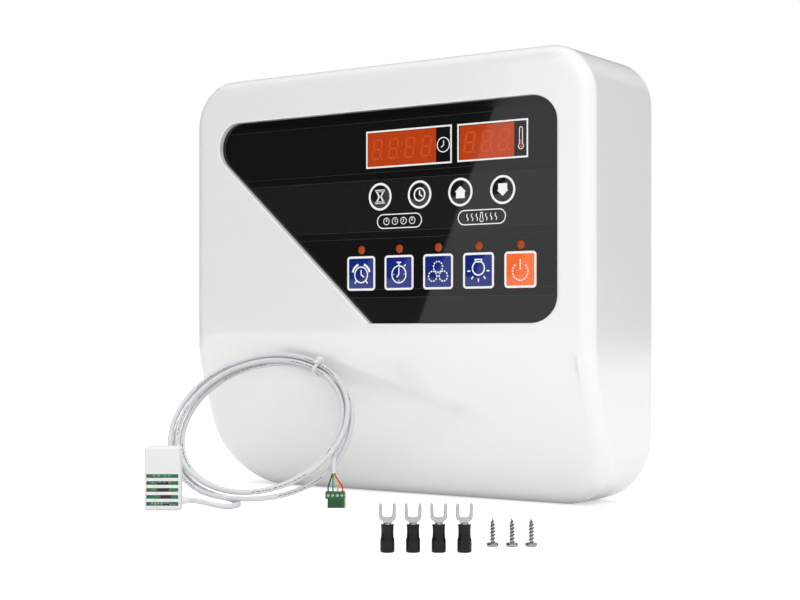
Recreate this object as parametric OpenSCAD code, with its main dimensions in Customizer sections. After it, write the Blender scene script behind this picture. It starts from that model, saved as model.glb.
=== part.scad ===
// Wall-mounted sauna heater controller with its temperature sensor lead, fork terminals and wall screws.
// X runs along the width, +Y into the wall and +Z up. The origin is on the underside's flat face.

/* [Case] */
// Width of the case
case_w = 280; // [276:1:284]
// Height of the case
case_h = 254; // [250:1:256]
// Depth of the case, from the front face to the wall
case_d = 76; // [74:1:80]
// Radius of the two upper corners
top_corner_r = 28; // [24:1:30]
// Radius of the two lower corners
low_corner_r = 38; // [34:1:40]
// Radius of the rounded front edge
edge_r = 8; // [6:0.5:9]
// Thickness of the moulded wall
wall = 2.6; // [2.2:0.1:3]
// Height of the crease where the lower face starts to fall back
crease_z = 95; // [93:1:97]
// Slope of the lower face just under the crease
crease_slope = 0.1; // [0.05:0.01:0.15]
// Bow of the lower face: extra setback for each square of the drop, per mm
face_bow = 0.0029; // [0.002:0.0001:0.003]

/* [Panel] */
// Depth of the recess in front of the panel
recess = 3.5; // [3:0.1:4]
// Thickness of the panel
lens_t = 2; // [1.6:0.1:2.2]
// Corner radius of the panel
panel_r = 15; // [14:0.5:16]
// Right edge of the panel
panel_right = 118; // [117:0.5:119]
// Upper edge of the panel
panel_top = 227; // [226:0.5:228]
// Lower edge of the panel
panel_low = 102.4; // [102:0.1:103]
// Left end of the lower edge, where the slanted edge starts
slant_x = -5; // [-6:0.5:-4]
// Angle of the slanted edge above the horizontal
slant_angle = 42; // [41:0.5:43]

/* [Keys] */
// Travel of a key
key_travel = 0.6; // [0.4:0.1:0.6]
// Height of a key's face above the panel
key_proud = 0.3; // [0.2:0.05:0.4]
// Gap around a key in the panel
key_gap = 0.25; // [0.2:0.05:0.35]
// Radius of the four round keys
round_key_r = 8.1; // [7.8:0.1:8.3]
// Distance between round keys
round_pitch = 27.6; // [27:0.1:28]
// Height of the round keys' centres
round_z = 176.4; // [175:0.2:178]
// Side of the five square keys
square_key_w = 20.2; // [19.8:0.1:20.4]
// Distance between square keys
square_pitch = 26.9; // [26.5:0.1:27.2]
// Height of the square keys' centres
square_z = 131.9; // [131:0.1:132.5]
// Radius of the indicator lamps above the square keys
led_r = 2.5; // [2.2:0.1:2.6]

/* [Wall fixing] */
// Diameter of the circle through the three keyholes
keyhole_pcd = 150; // [140:5:160]
// Radius of a keyhole's entry, for the screw's head
keyhole_r = 3.6; // [3.4:0.1:3.8]
// Half the width of a keyhole's slot, for the screw's shank
keyslot_r = 1.8; // [1.7:0.1:1.9]
// Radius of the bore through a cable grommet
grommet_bore_r = 7; // [6:0.5:7]

/* [Sensor lead] */
// Radius of the lead
lead_r = 1.5; // [1.4:0.1:1.6]
// Mean radius of the coil
coil_r = 51; // [50:0.5:52]
// Radius of the bundle of turns
bundle_r = 5.2; // [5:0.1:5.4]
// Lean of the coil from the vertical
coil_lean = 42; // [40:1:44]
// Turn of the coil about the vertical
coil_turn = 20; // [18:1:22]

/* [Hidden] */
$fn = 48;
front_y = -56;
half_w = case_w / 2;
lens_far = recess + lens_t;
tray_far = lens_far + 2.4;
board_near = 13.8;
board_far = board_near + 1.6;
plate_near = case_d - 4.5;
plate_far = plate_near + 1.5;
power_far = plate_near - 8;
power_near = power_far - 1.6;
stem_far = board_near - 5.05 - key_travel;
ribbon_w = 13;
ribbon_near = board_far + 9;
ribbon_far = power_near - 18;
lens_window = [-27, 107, 112, 219];
first_round_x = 1.3;
first_square_x = -12.3;
led_z = 145.7;
boss_r = 4.5;
BOSSES = [[124, 236], [-124, 236], [114, 27], [-114, 27]];
BOARD_POSTS = [[112.5, 217], [112.5, 108], [-32, 217], [2, 107.5]];
time_box = [-8.2, 39.4, 194.6, 213.6];
temp_box = [55.6, 91.6, 194.6, 213.6];
power_box = [-105, 45, 62, 162];
POWER_POSTS = [[-99, 68], [39, 68], [-99, 156], [39, 156]];
keyhole_mid_z = 133;
grommet_z = 30;
GROMMETS = [-66, -22, 22];
header_x = 20;
header_z = 150;
block_box = [58, 122, 44, 68];
block_near = plate_near - 16;
kit_yaw = 34;
sensor_at = [-66, -164];
sensor_w = 20;
sensor_h = 35;
sensor_d = 9;
sensor_slots = [for (i = [0 : 4]) 3.7 + 3.8 * i];
coil_c = [-53, -95.4, 43.2];
plug_at = [6, -103];
fork_at = [143, -220];
fork_pitch = 11.4;
sleeve_h = 12.4;
screw_at = [165.5, -183];
screw_pitch = 8.8;
// Route of the lead from the sensor to the coil, and from the coil to the end of its jacket
LEAD_START = [
    [-58.2, -156, 5], [-54.9, -153.8, 5], [-50, -150.5, 4.2], [-44.5, -146.6, 2.4], [-40, -142, 1.6],
    [-38, -136.6, 1.6], [-39.6, -131.8, 1.9], [-44, -129.2, 2.8], [-50, -128.9, 4.4]
];
LEAD_END = [[-4, -83.6, 36.6], [-3.4, -89.4, 30.4], [-1.8, -94, 24.4], [0.6, -97, 18]];
CORE_COLOURS = ["black", "teal", "gold", "red"];
ROUND_KEYS = ["hour_key", "minute_key", "up_key", "down_key"];
SQUARE_KEYS = ["preset_key", "timer_key", "ozone_key", "lamp_key", "power_key"];

// Draws a front view, with X right and Z up, and gives it the depth from near to far behind the front face
module between(near, far) {
    translate([0, front_y + far, 0]) rotate([90, 0, 0]) linear_extrude(far - near) children();
}

// A block given by its front view [left, right, low, high] and its depths
module block(box, near, far) {
    between(near, far) translate([box[0], box[2]]) square([box[1] - box[0], box[3] - box[2]]);
}

// A round bar along Y
module post(x, z, r, near, far) {
    between(near, far) translate([x, z]) circle(r);
}

// A front view with rounded corners about its middle
module round_square(w, h, r) {
    hull() for (x = [r - w / 2, w / 2 - r], z = [r - h / 2, h / 2 - r]) translate([x, z]) circle(r, $fn = 32);
}

// ---- Case ----
function face_setback(z) =
    z > crease_z ? 0 : crease_slope * (crease_z - z) + face_bow * (crease_z - z) * (crease_z - z);

function corner(x, z, r, from, to) = [for (i = [0 : 9]) let (a = from + (to - from) * i / 9)
    [x + r * cos(a), z + r * sin(a)]];

// Right half of the case's outline, from the underside up to the top, moved inwards by d
function half_outline(d) = concat(
    corner(half_w - low_corner_r, low_corner_r, low_corner_r - d, -90, 0),
    [for (i = [1 : 9]) [half_w - d, low_corner_r + (crease_z - low_corner_r) * i / 9]],
    corner(half_w - top_corner_r, case_h - top_corner_r, top_corner_r - d, 0, 90)
);

function outline(d) = let (right = half_outline(d), n = len(right))
    concat(right, [for (i = [n - 1 : -1 : 0]) [-right[i][0], right[i][1]]]);

// The case's outer form, moved inwards by skin and open-ended at depth far
module case_form(skin, far) {
    r = edge_r - skin;
    steps = 6;
    rings = [for (k = [0 : steps]) let (a = 90 * k / steps, d = r - r * sin(a))
        [for (p = outline(skin + d)) [p[0], front_y + skin + face_setback(p[1]) + r - r * cos(a), p[1]]]];
    back = [for (p = outline(skin)) [p[0], front_y + far, p[1]]];
    n = len(back);
    half = n / 2;
    points = [for (ring = concat(rings, [back])) each ring];
    front_faces = [for (i = [0 : half - 2]) [n - 1 - i, n - 2 - i, i + 1, i]];
    side_faces = [for (k = [0 : steps], i = [0 : n - 1]) let (j = (i + 1) % n, a = k * n, b = a + n)
        each [[a + i, b + j, b + i], [a + i, a + j, b + j]]];
    back_face = [[for (i = [0 : n - 1]) (steps + 1) * n + i]];
    polyhedron(points, concat(front_faces, side_faces, back_face));
}

module case_section(d) {
    polygon(outline(d));
}

// The panel's outline, moved outwards by grow
module panel_outline(grow) {
    left_x = slant_x - (panel_top - panel_low) / tan(slant_angle) + panel_r / tan(slant_angle / 2);
    low_r = 4;
    hull() {
        translate([panel_right - panel_r, panel_top - panel_r]) circle(panel_r + grow, $fn = 48);
        translate([panel_right - panel_r, panel_low + panel_r]) circle(panel_r + grow, $fn = 48);
        translate([left_x, panel_top - panel_r]) circle(panel_r + grow, $fn = 48);
        translate([slant_x + low_r * tan(slant_angle / 2), panel_low + low_r]) circle(low_r + grow, $fn = 32);
    }
}

// How far the middle of a corner's wall is from the corner's centre, measured at a step to one side
function reach(r, step) = sqrt(pow(r - wall / 2, 2) - step * step);

// A thin rib that ties a screw boss to the wall at the point given
module boss_rib(p, at_wall) {
    between(face_setback(min(p[1], at_wall[1])) + edge_r, plate_near - 20) hull() {
        translate(p) circle(0.9, $fn = 8);
        translate(at_wall) circle(0.9, $fn = 8);
    }
}

module front_cover() {
    $fn = 20;
    color("whitesmoke") difference() {
        union() {
            difference() {
                case_form(0, case_d);
                case_form(wall, case_d + 1);
            }
            between(1, tray_far) panel_outline(wall);
            for (p = BOARD_POSTS) post(p[0], p[1], 3, tray_far - 0.5, board_near);
            for (p = BOSSES) {
                upper = p[1] > crease_z;
                r = upper ? top_corner_r : low_corner_r;
                mid = [sign(p[0]) * (half_w - r), upper ? case_h - r : r];
                off = p - mid;
                post(p[0], p[1], boss_r, face_setback(p[1] - boss_r) + 1.5, plate_near - 0.1);
                boss_rib(p, mid + [sign(p[0]) * reach(r, off[1]), off[1]]);
                boss_rib(p, mid + [off[0], sign(off[1]) * reach(r, off[0])]);
            }
        }
        between(-1, lens_far) panel_outline(0);
        between(recess, tray_far + 1) intersection() {
            panel_outline(-2);
            translate([lens_window[0], lens_window[2]])
                square([lens_window[1] - lens_window[0], lens_window[3] - lens_window[2]]);
        }
        for (p = BOARD_POSTS) post(p[0], p[1], 1.1, tray_far, board_near + 1);
        for (p = BOSSES) post(p[0], p[1], 1.6, plate_near - 16, plate_near + 1);
    }
}

module keyhole(x, z) {
    translate([x, z]) circle(keyhole_r);
    translate([x - keyslot_r, z]) square([2 * keyslot_r, 8]);
    translate([x, z + 8]) circle(keyslot_r);
}

module back_plate() {
    color("silver") between(plate_near, plate_far) difference() {
        case_section(wall + 0.4);
        for (a = [30, 150, 270])
            keyhole(keyhole_pcd / 2 * cos(a), keyhole_mid_z + keyhole_pcd / 2 * sin(a));
        for (x = GROMMETS) translate([x, grommet_z]) circle(grommet_bore_r + 2);
        for (p = BOSSES) translate(p) circle(1.8);
        for (p = POWER_POSTS) translate(p) circle(1.3);
    }
}

module cable_grommets() {
    inner = grommet_bore_r;
    color("dimgray") for (x = GROMMETS)
        translate([x, front_y + plate_near - 1.5, grommet_z]) rotate([-90, 0, 0]) rotate_extrude() polygon([
            [inner, 0], [inner + 4, 0], [inner + 4, 1.45], [inner + 1.9, 1.45],
            [inner + 1.9, 3.05], [inner + 4, 3.05], [inner + 4, 4.5], [inner, 4.5]
        ]);
}

module case_screws() {
    color("silver") for (p = BOSSES) {
        difference() {
            post(p[0], p[1], 3, plate_far, plate_far + 2.2);
            between(plate_far + 1, plate_far + 3) translate(p) for (a = [0, 90])
                rotate(a) square([3.4, 0.7], center = true);
        }
        post(p[0], p[1], 1.45, plate_near - 14, plate_far + 0.1);
    }
}

// ---- Panel and keys ----
function round_x(i) = first_round_x + i * round_pitch;
function square_x(i) = first_square_x + i * square_pitch;

module panel_lens() {
    hole = square_key_w + 2 * key_gap;
    color([0.07, 0.07, 0.08]) between(recess, lens_far) difference() {
        panel_outline(-0.2);
        for (i = [0 : 3]) translate([round_x(i), round_z]) circle(round_key_r + key_gap);
        for (i = [0 : 4]) translate([square_x(i), square_z]) round_square(hole, hole, 2.4);
        for (i = [0 : 4]) translate([square_x(i), led_z]) circle(led_r + 0.1);
    }
}

// A key is its cap, a flange that keeps it behind the panel, and the stem that meets the switch
module round_key(i) {
    color([0.1, 0.1, 0.11]) {
        post(round_x(i), round_z, round_key_r, recess - key_proud, lens_far + 0.3);
        post(round_x(i), round_z, round_key_r + 1.2, lens_far + 0.3, lens_far + 1.2);
        post(round_x(i), round_z, 1.7, lens_far + 1.2, stem_far);
    }
}

module square_key(i) {
    flange = square_key_w + 1.4;
    color(i == 4 ? [0.95, 0.4, 0.15] : [0.1, 0.12, 0.5]) {
        between(recess - key_proud, lens_far + 0.3) translate([square_x(i), square_z])
            round_square(square_key_w, square_key_w, 2.2);
        between(lens_far + 0.3, lens_far + 1.2) translate([square_x(i), square_z])
            round_square(flange, flange, 4);
        post(square_x(i), square_z, 1.7, lens_far + 1.2, stem_far);
    }
}

module at_switches() {
    for (i = [0 : 3]) translate([round_x(i), round_z]) children();
    for (i = [0 : 4]) translate([square_x(i), square_z]) children();
}

module key_switches() {
    color("dimgray") between(board_near - 3.5, board_near) at_switches() square(6, center = true);
}

module switch_plungers() {
    color("black") between(board_near - 5, board_near - 3.5) at_switches() circle(1.7);
}

module indicator_leds() {
    color("orangered") for (i = [0 : 4]) {
        post(square_x(i), led_z, led_r, recess + 0.1, board_near - 1);
        post(square_x(i), led_z, led_r + 0.3, board_near - 1, board_near);
    }
}

// ---- Display board ----
module time_display() {
    color("orangered") block(time_box, lens_far + 0.2, board_near);
}

module temperature_display() {
    color("orangered") block(temp_box, lens_far + 0.2, board_near);
}

module display_board() {
    color("darkgreen") between(board_near, board_far) difference() {
        polygon([[-36, 221], [-36, 150], [-2, 103.6], [116, 103.6], [116, 221]]);
        for (p = BOARD_POSTS) translate(p) circle(1.3);
    }
}

module display_board_screws() {
    color("silver") for (p = BOARD_POSTS) {
        post(p[0], p[1], 2.2, board_far, board_far + 1.4);
        post(p[0], p[1], 1, board_near - 5, board_far + 0.1);
    }
}

module control_chip() {
    color("black") block([60, 74, 150, 164], board_far, board_far + 1.6);
}

module buzzer() {
    color("black") difference() {
        post(95, 172, 6, board_far, board_far + 7.5);
        post(95, 172, 1, board_far + 6, board_far + 8);
    }
}

// ---- Ribbon ----
module ribbon_plugs() {
    color("dimgray") {
        block([header_x - 9, header_x + 9, header_z + 8, header_z + 14], board_far, ribbon_near);
        block([header_x - 9, header_x + 9, header_z - 3, header_z + 3], ribbon_far, power_near - 9);
    }
}

module ribbon_header() {
    color("black") block([header_x - 9, header_x + 9, header_z - 3, header_z + 3], power_near - 9, power_near);
}

module ribbon_cable() {
    t = 0.9;
    y0 = front_y + ribbon_near;
    y1 = front_y + ribbon_far;
    color("lightgray") translate([header_x - ribbon_w / 2, 0, 0]) rotate([90, 0, 90]) linear_extrude(ribbon_w)
        polygon([
            [y0, header_z + 11], [y0 + 4, header_z + 11], [y1 - 4, header_z], [y1, header_z],
            [y1, header_z + t], [y1 - 3.6, header_z + t], [y0 + 4.4, header_z + 11 + t],
            [y0, header_z + 11 + t]
        ]);
}

// ---- Power board and wiring ----
module power_board() {
    color("olivedrab") between(power_near, power_far) difference() {
        translate([power_box[0], power_box[2]])
            square([power_box[1] - power_box[0], power_box[3] - power_box[2]]);
        for (p = POWER_POSTS) translate(p) circle(1.6);
    }
}

module board_standoffs() {
    color("goldenrod") between(power_far, plate_near) for (p = POWER_POSTS) translate(p) difference() {
        circle(2.8, $fn = 6);
        circle(1.3);
    }
}

module power_board_screws() {
    color("silver") for (p = POWER_POSTS) {
        post(p[0], p[1], 2.6, power_near - 1.8, power_near);
        post(p[0], p[1], 1.2, power_near, power_near + 6);
    }
}

module transformer_core() {
    near = power_near - 26;
    color("gray") difference() {
        block([-98, -54, 92, 130], near, near + 18);
        block([-91, -82, 98, 124], near - 1, near + 19);
        block([-70, -61, 98, 124], near - 1, near + 19);
    }
}

module transformer_winding() {
    near = power_near - 30;
    core_near = power_near - 26;
    color("peru") difference() {
        block([-90, -62, 99, 123], near, power_near);
        block([-82, -70, 90, 132], core_near, core_near + 18);
    }
}

module relays() {
    color("royalblue") for (i = [0 : 2])
        block([-44 + 22 * i, -28.5 + 22 * i, 112, 131], power_near - 15.5, power_near);
}

module fuse_holder() {
    color("silver") for (x = [-98, -78])
        difference() {
            block([x, x + 4, 136, 144], power_near - 9, power_near);
            translate([x - 1, front_y + power_near - 5.5, 140]) rotate([0, 90, 0]) cylinder(r = 2.7, h = 6);
        }
}

module fuse() {
    color("lightcyan") translate([-98, front_y + power_near - 5.5, 140]) rotate([0, 90, 0])
        cylinder(r = 2.6, h = 24);
}

module capacitors() {
    color("midnightblue") {
        post(-42, 84, 6.3, power_near - 22, power_near);
        post(-26, 84, 5, power_near - 16, power_near);
        post(-12, 84, 5, power_near - 16, power_near);
    }
}

module regulator() {
    color("black") block([4, 14, 76, 91], power_near - 15, power_near - 10.5);
    color("silver") for (x = [5.8, 8.6, 11.4])
        block([x, x + 0.8, 82, 83], power_near - 10.5, power_near);
}

module heatsink() {
    color("darkslategray") {
        block([-2, 20, 76, 91], power_near - 17, power_near - 15);
        for (i = [0 : 5])
            block([-2 + 4.1 * i, -0.5 + 4.1 * i, 76, 91], power_near - 27, power_near - 17);
    }
}

module sensor_socket() {
    color("limegreen") difference() {
        block([-20, -6, 63, 72], power_near - 9, power_near);
        block([-18.6, -7.4, 62, 70.6], power_near - 10, power_near - 1.5);
    }
}

module terminal_block() {
    pitch = 14;
    color("dimgray") difference() {
        block(block_box, block_near, plate_near);
        for (i = [0 : 3]) {
            block([block_box[0] + 5 + pitch * i, block_box[0] + 16 + pitch * i, 43, 69],
                block_near - 1, block_near + 8);
            post(block_box[0] + 10.5 + pitch * i, 49.5, 1.8, block_near + 7, block_near + 14);
            post(block_box[0] + 10.5 + pitch * i, 62.5, 1.8, block_near + 7, block_near + 14);
        }
    }
}

module terminal_screws() {
    color("silver") for (i = [0 : 3], z = [49.5, 62.5]) {
        post(block_box[0] + 10.5 + 14 * i, z, 3.2, block_near + 5.6, block_near + 8);
        post(block_box[0] + 10.5 + 14 * i, z, 1.7, block_near + 8, block_near + 13.5);
    }
}

// A wire with square bends through the given points
module wire(points, r) {
    for (i = [0 : len(points) - 2]) {
        step = points[i + 1] - points[i];
        flat = sqrt(step[0] * step[0] + step[1] * step[1]);
        translate(points[i]) rotate([0, atan2(flat, step[2]), atan2(step[1], step[0])])
            cylinder(r = r, h = norm(step), $fn = 24);
        translate(points[i]) sphere(r, $fn = 24);
    }
}

module mains_wires() {
    y = front_y + block_near + 3;
    color("saddlebrown") for (i = [0 : 2]) {
        x = block_box[0] + 10.5 + 14 * i;
        z = 84 + 10 * i;
        wire([[38 - 4 * i, front_y + power_near - 1.2, z], [38 - 4 * i, y, z], [x, y, z], [x, y, 66]], 1.3);
    }
}

// ---- Sensor ----
// Places a piece of the loose kit: its own front looks towards -Y before the turn
module kit(at) {
    translate([at[0], at[1], 0]) rotate([0, 0, kit_yaw]) children();
}

module sensor_base() {
    color("white") kit(sensor_at) difference() {
        translate([-sensor_w / 2, 0.5, 0]) cube([sensor_w, sensor_d / 2 - 0.5, sensor_h]);
        translate([-sensor_w / 2 + 1.2, -1, 1.2]) cube([sensor_w - 2.4, 4.2, sensor_h - 2.4]);
        translate([sensor_w / 2 - 2, 2.3, 5]) rotate([0, 90, 0]) cylinder(r = 1.6, h = 4);
    }
}

module sensor_cover() {
    color("white") kit(sensor_at) difference() {
        translate([-sensor_w / 2, -sensor_d / 2, 0]) cube([sensor_w, sensor_d / 2 + 0.5, sensor_h]);
        translate([-sensor_w / 2 + 1.2, -sensor_d / 2 + 1.2, 1.2]) cube([sensor_w - 2.4, 6, sensor_h - 2.4]);
        for (z = sensor_slots) translate([-8.6, -sensor_d / 2 - 1, z - 1]) cube([17.2, 3, 2]);
    }
}

module sensor_board() {
    color("seagreen") kit(sensor_at) translate([-8.2, -1.6, 1.8]) cube([16.4, 1.2, sensor_h - 3.6]);
}

module sensor_chip() {
    color("whitesmoke") kit(sensor_at) translate([-3, -2.9, 9]) cube([6, 1.3, 6]);
}

module sensor_bush() {
    color("lightgray") kit(sensor_at) translate([sensor_w / 2, 2.3, 5]) rotate([0, 90, 0]) difference() {
        cylinder(r1 = 2.2, r2 = 1.8, h = 4);
        translate([0, 0, -1]) cylinder(r = lead_r + 0.02, h = 6);
    }
}

// ---- Lead ----
// A ring of points about p, square to the direction d
function ring_at(p, d, r) = let (
        side = abs(d[2]) > 0.9 * norm(d) ? [1, 0, 0] : cross(d, [0, 0, 1]),
        a = side / norm(side),
        up = cross(d, a),
        b = up / norm(up))
    [for (i = [0 : 7]) p + r * cos(45 * i) * a + r * sin(45 * i) * b];

// A point on the smooth curve through four route points, at t from the second to the third
function smooth(p, q, s, e, t) =
    0.5 * (2 * q + (s - p) * t + (2 * p - 5 * q + 4 * s - e) * t * t + (3 * q - p - 3 * s + e) * t * t * t);

function route(points) = let (n = len(points))
    concat([for (i = [0 : n - 2], t = [0, 1 / 3, 2 / 3])
        smooth(points[max(i - 1, 0)], points[i], points[i + 1], points[min(i + 2, n - 1)], t)], [points[n - 1]]);

module tube(points, r) {
    path = route(points);
    n = len(path);
    rings = [for (i = [0 : n - 1]) ring_at(path[i], path[min(i + 1, n - 1)] - path[max(i - 1, 0)], r)];
    sides = [for (k = [0 : n - 2], i = [0 : 7]) let (j = (i + 1) % 8, a = 8 * k, b = a + 8)
        each [[a + i, b + i, b + j], [a + i, b + j, a + j]]];
    ends = [[for (i = [0 : 7]) i], [for (i = [7 : -1 : 0]) 8 * (n - 1) + i]];
    polyhedron([for (ring = rings) each ring], concat(sides, ends));
}

module lead_start() {
    color("gainsboro") tube(LEAD_START, lead_r);
}

module lead_end() {
    color("gainsboro") tube(LEAD_END, lead_r);
}

module on_coil() {
    translate(coil_c) rotate([0, 0, coil_turn]) rotate([90 - coil_lean, 0, 0]) children();
}

module lead_coil() {
    color("gainsboro") on_coil() rotate_extrude($fn = 96) translate([coil_r, 0]) circle(bundle_r);
}

module cable_tie() {
    color("white") on_coil() rotate([0, 0, 60]) translate([coil_r, 0, 0]) rotate([90, 0, 0]) {
        difference() {
            cylinder(r = 4.7, h = 2.5, center = true);
            cylinder(r = 3.9, h = 4, center = true);
        }
        rotate([0, 0, 60]) translate([4.2, -2, -2]) cube([3, 4, 4]);
    }
}

module lead_cores() {
    last = LEAD_END[len(LEAD_END) - 1];
    for (i = [0 : 3]) color(CORE_COLOURS[i]) {
        foot = [plug_at[0] + (i - 1.5) * 2.54 * cos(kit_yaw), plug_at[1] + (i - 1.5) * 2.54 * sin(kit_yaw), 8.6];
        top = last + [(i - 1.5) * 0.68 * cos(kit_yaw), (i - 1.5) * 0.68 * sin(kit_yaw), 0.4];
        tube([top, top + [0.2, -0.5, -1.6], foot + [-0.4, 0.5, 3.2], foot], 0.3);
    }
}

module plug_body() {
    color("green") kit(plug_at) {
        difference() {
            translate([-5.4, -2.6, 0]) cube([10.8, 5.2, 9]);
            for (i = [0 : 3]) translate([(i - 1.5) * 2.54, -3, 6.2]) rotate([-90, 0, 0]) cylinder(r = 0.9, h = 2.4);
        }
        translate([-6, 2.6, 1]) cube([12, 1.6, 5]);
    }
}

module plug_screws() {
    color("silver") kit(plug_at) for (i = [0 : 3])
        translate([(i - 1.5) * 2.54, -2.5, 6.2]) rotate([-90, 0, 0]) cylinder(r = 0.85, h = 1.6);
}

// ---- Loose fixings ----
module along_row(at, pitch, count) {
    for (i = [0 : count - 1]) translate([at[0], at[1], 0]) rotate([0, 0, kit_yaw])
        translate([(i - (count - 1) / 2) * pitch, 0, 0]) children();
}

module terminal_sleeves() {
    color([0.1, 0.1, 0.1]) along_row(fork_at, fork_pitch, 4) difference() {
        cylinder(r = 3.05, h = sleeve_h);
        translate([0, 0, -1]) cylinder(r = 1.7, h = sleeve_h + 2);
    }
}

module fork_terminals() {
    thick = 0.8;
    eye_z = sleeve_h + 4.6;
    color("silver") along_row(fork_at, fork_pitch, 4) {
        difference() {
            translate([0, 0, 6]) cylinder(r = 1.68, h = sleeve_h - 5);
            translate([0, 0, 5]) cylinder(r = 1.1, h = 5);
        }
        translate([0, thick / 2, 0]) rotate([90, 0, 0]) linear_extrude(thick) difference() {
            union() {
                translate([-1.68, sleeve_h - 1]) square([3.36, 3]);
                translate([0, eye_z]) circle(3.75);
                translate([-3.75, eye_z]) square([7.5, 5]);
            }
            translate([0, eye_z]) circle(2.1);
            translate([-2.1, eye_z]) square([4.2, 6]);
        }
    }
}

module wall_screws() {
    thread_pitch = 1.2;
    color("silver") along_row(screw_at, screw_pitch, 3) difference() {
        rotate_extrude() polygon(concat(
            [[0, 0], [2.5, 0], [2.8, 0.5], [2.6, 1.6], [1.1, 1.9]],
            [for (i = [0 : 6]) each [[1.05, 2.4 + i * thread_pitch], [1.5, 2.8 + i * thread_pitch],
                [1.05, 3.1 + i * thread_pitch]]],
            [[1, 11], [0, 13.2]]
        ));
        translate([0, 0, 0.4]) for (a = [0, 90]) rotate([0, 0, a]) cube([3.2, 0.7, 1], center = true);
    }
}

front_cover();
back_plate();
panel_lens();
for (i = [0 : 3]) round_key(i);
for (i = [0 : 4]) square_key(i);
time_display();
temperature_display();
indicator_leds();
key_switches();
switch_plungers();
display_board();
display_board_screws();
control_chip();
buzzer();
ribbon_cable();
ribbon_plugs();
ribbon_header();
power_board();
board_standoffs();
power_board_screws();
transformer_core();
transformer_winding();
relays();
fuse_holder();
fuse();
capacitors();
regulator();
heatsink();
sensor_socket();
terminal_block();
terminal_screws();
mains_wires();
cable_grommets();
case_screws();
sensor_base();
sensor_cover();
sensor_board();
sensor_chip();
sensor_bush();
lead_start();
lead_coil();
lead_end();
cable_tie();
lead_cores();
plug_body();
plug_screws();
fork_terminals();
terminal_sleeves();
wall_screws();
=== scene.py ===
"""Looks for the sauna heater controller and its loose kit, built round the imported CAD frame."""
import math
import random

import bmesh
import bpy
from mathutils import Matrix, Vector


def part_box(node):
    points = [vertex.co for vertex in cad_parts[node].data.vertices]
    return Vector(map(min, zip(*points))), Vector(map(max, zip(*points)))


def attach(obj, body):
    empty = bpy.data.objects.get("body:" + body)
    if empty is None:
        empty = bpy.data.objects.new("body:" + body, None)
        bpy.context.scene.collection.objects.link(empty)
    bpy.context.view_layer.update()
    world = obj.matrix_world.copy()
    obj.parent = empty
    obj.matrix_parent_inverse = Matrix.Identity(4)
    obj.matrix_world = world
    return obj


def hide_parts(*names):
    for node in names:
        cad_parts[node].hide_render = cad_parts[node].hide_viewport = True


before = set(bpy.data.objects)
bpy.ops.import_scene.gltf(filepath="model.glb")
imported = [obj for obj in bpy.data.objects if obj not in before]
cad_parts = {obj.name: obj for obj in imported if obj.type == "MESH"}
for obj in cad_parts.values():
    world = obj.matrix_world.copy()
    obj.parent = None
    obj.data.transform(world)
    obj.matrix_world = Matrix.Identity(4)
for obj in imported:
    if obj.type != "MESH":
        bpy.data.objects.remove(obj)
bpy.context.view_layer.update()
MM = 0.001
scene = bpy.context.scene


def box_mm(node):
    low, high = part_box(node)
    return low / MM, high / MM


def middle(node):
    low, high = box_mm(node)
    return (low + high) / 2


# ---- Sizes, in millimetres ----
CASE_LOW, CASE_HIGH = box_mm("front_cover")
FRONT = CASE_LOW.y
HALF_W = CASE_HIGH.x
CASE_H = CASE_HIGH.z
CASE_D = CASE_HIGH.y - CASE_LOW.y
TOP_CORNER_R = 28
LOW_CORNER_R = 38
EDGE_R = 8
WALL = 2.6
CREASE_Z = 95
CREASE_SLOPE = 0.1
FACE_BOW = 0.0029
RECESS = box_mm("panel_lens")[0].y - FRONT
LENS_FAR = box_mm("panel_lens")[1].y - FRONT
TRAY_FAR = LENS_FAR + 2.4
BOARD_NEAR = box_mm("display_board")[0].y - FRONT
PLATE_NEAR = box_mm("back_plate")[0].y - FRONT
ROUND_KEYS = ["hour_key", "minute_key", "up_key", "down_key"]
SQUARE_KEYS = ["preset_key", "timer_key", "ozone_key", "lamp_key", "power_key"]
KIT_YAW = math.radians(34)

# ---- Camera ----
camera_data = bpy.data.cameras.new("camera")
camera_data.sensor_width = 36
camera_data.lens = 70.2
camera_data.shift_y = 0.0385
camera = bpy.data.objects.new("camera", camera_data)
camera.location = (0.5229, -0.7988, 0.0982)
camera.rotation_euler = (math.radians(90), 0, math.radians(34.23))
scene.collection.objects.link(camera)
scene.camera = camera


# ---- Materials ----
GRAIN_HEIGHT = 0.0004


def node_in(tree, kind, values=(), **settings):
    """A shader node with its settings, and then the values of its inputs."""
    node = tree.nodes.new("ShaderNode" + kind)
    for name, value in settings.items():
        setattr(node, name, value)
    for name, value in dict(values).items():
        node.inputs[name].default_value = value
    return node


def wire(tree, *links):
    """Joins an output to an input for each link: (node, output, node, input)."""
    for source, output, target, socket in links:
        tree.links.new(source.outputs[output], target.inputs[socket])


def maths(tree, operation, first, second):
    """The result of a Math node, whose operands are numbers or outputs."""
    node = node_in(tree, "Math", operation=operation)
    for socket, value in zip(node.inputs, (first, second)):
        if isinstance(value, (int, float)):
            socket.default_value = value
        else:
            tree.links.new(value, socket)
    return node.outputs["Value"]


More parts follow.
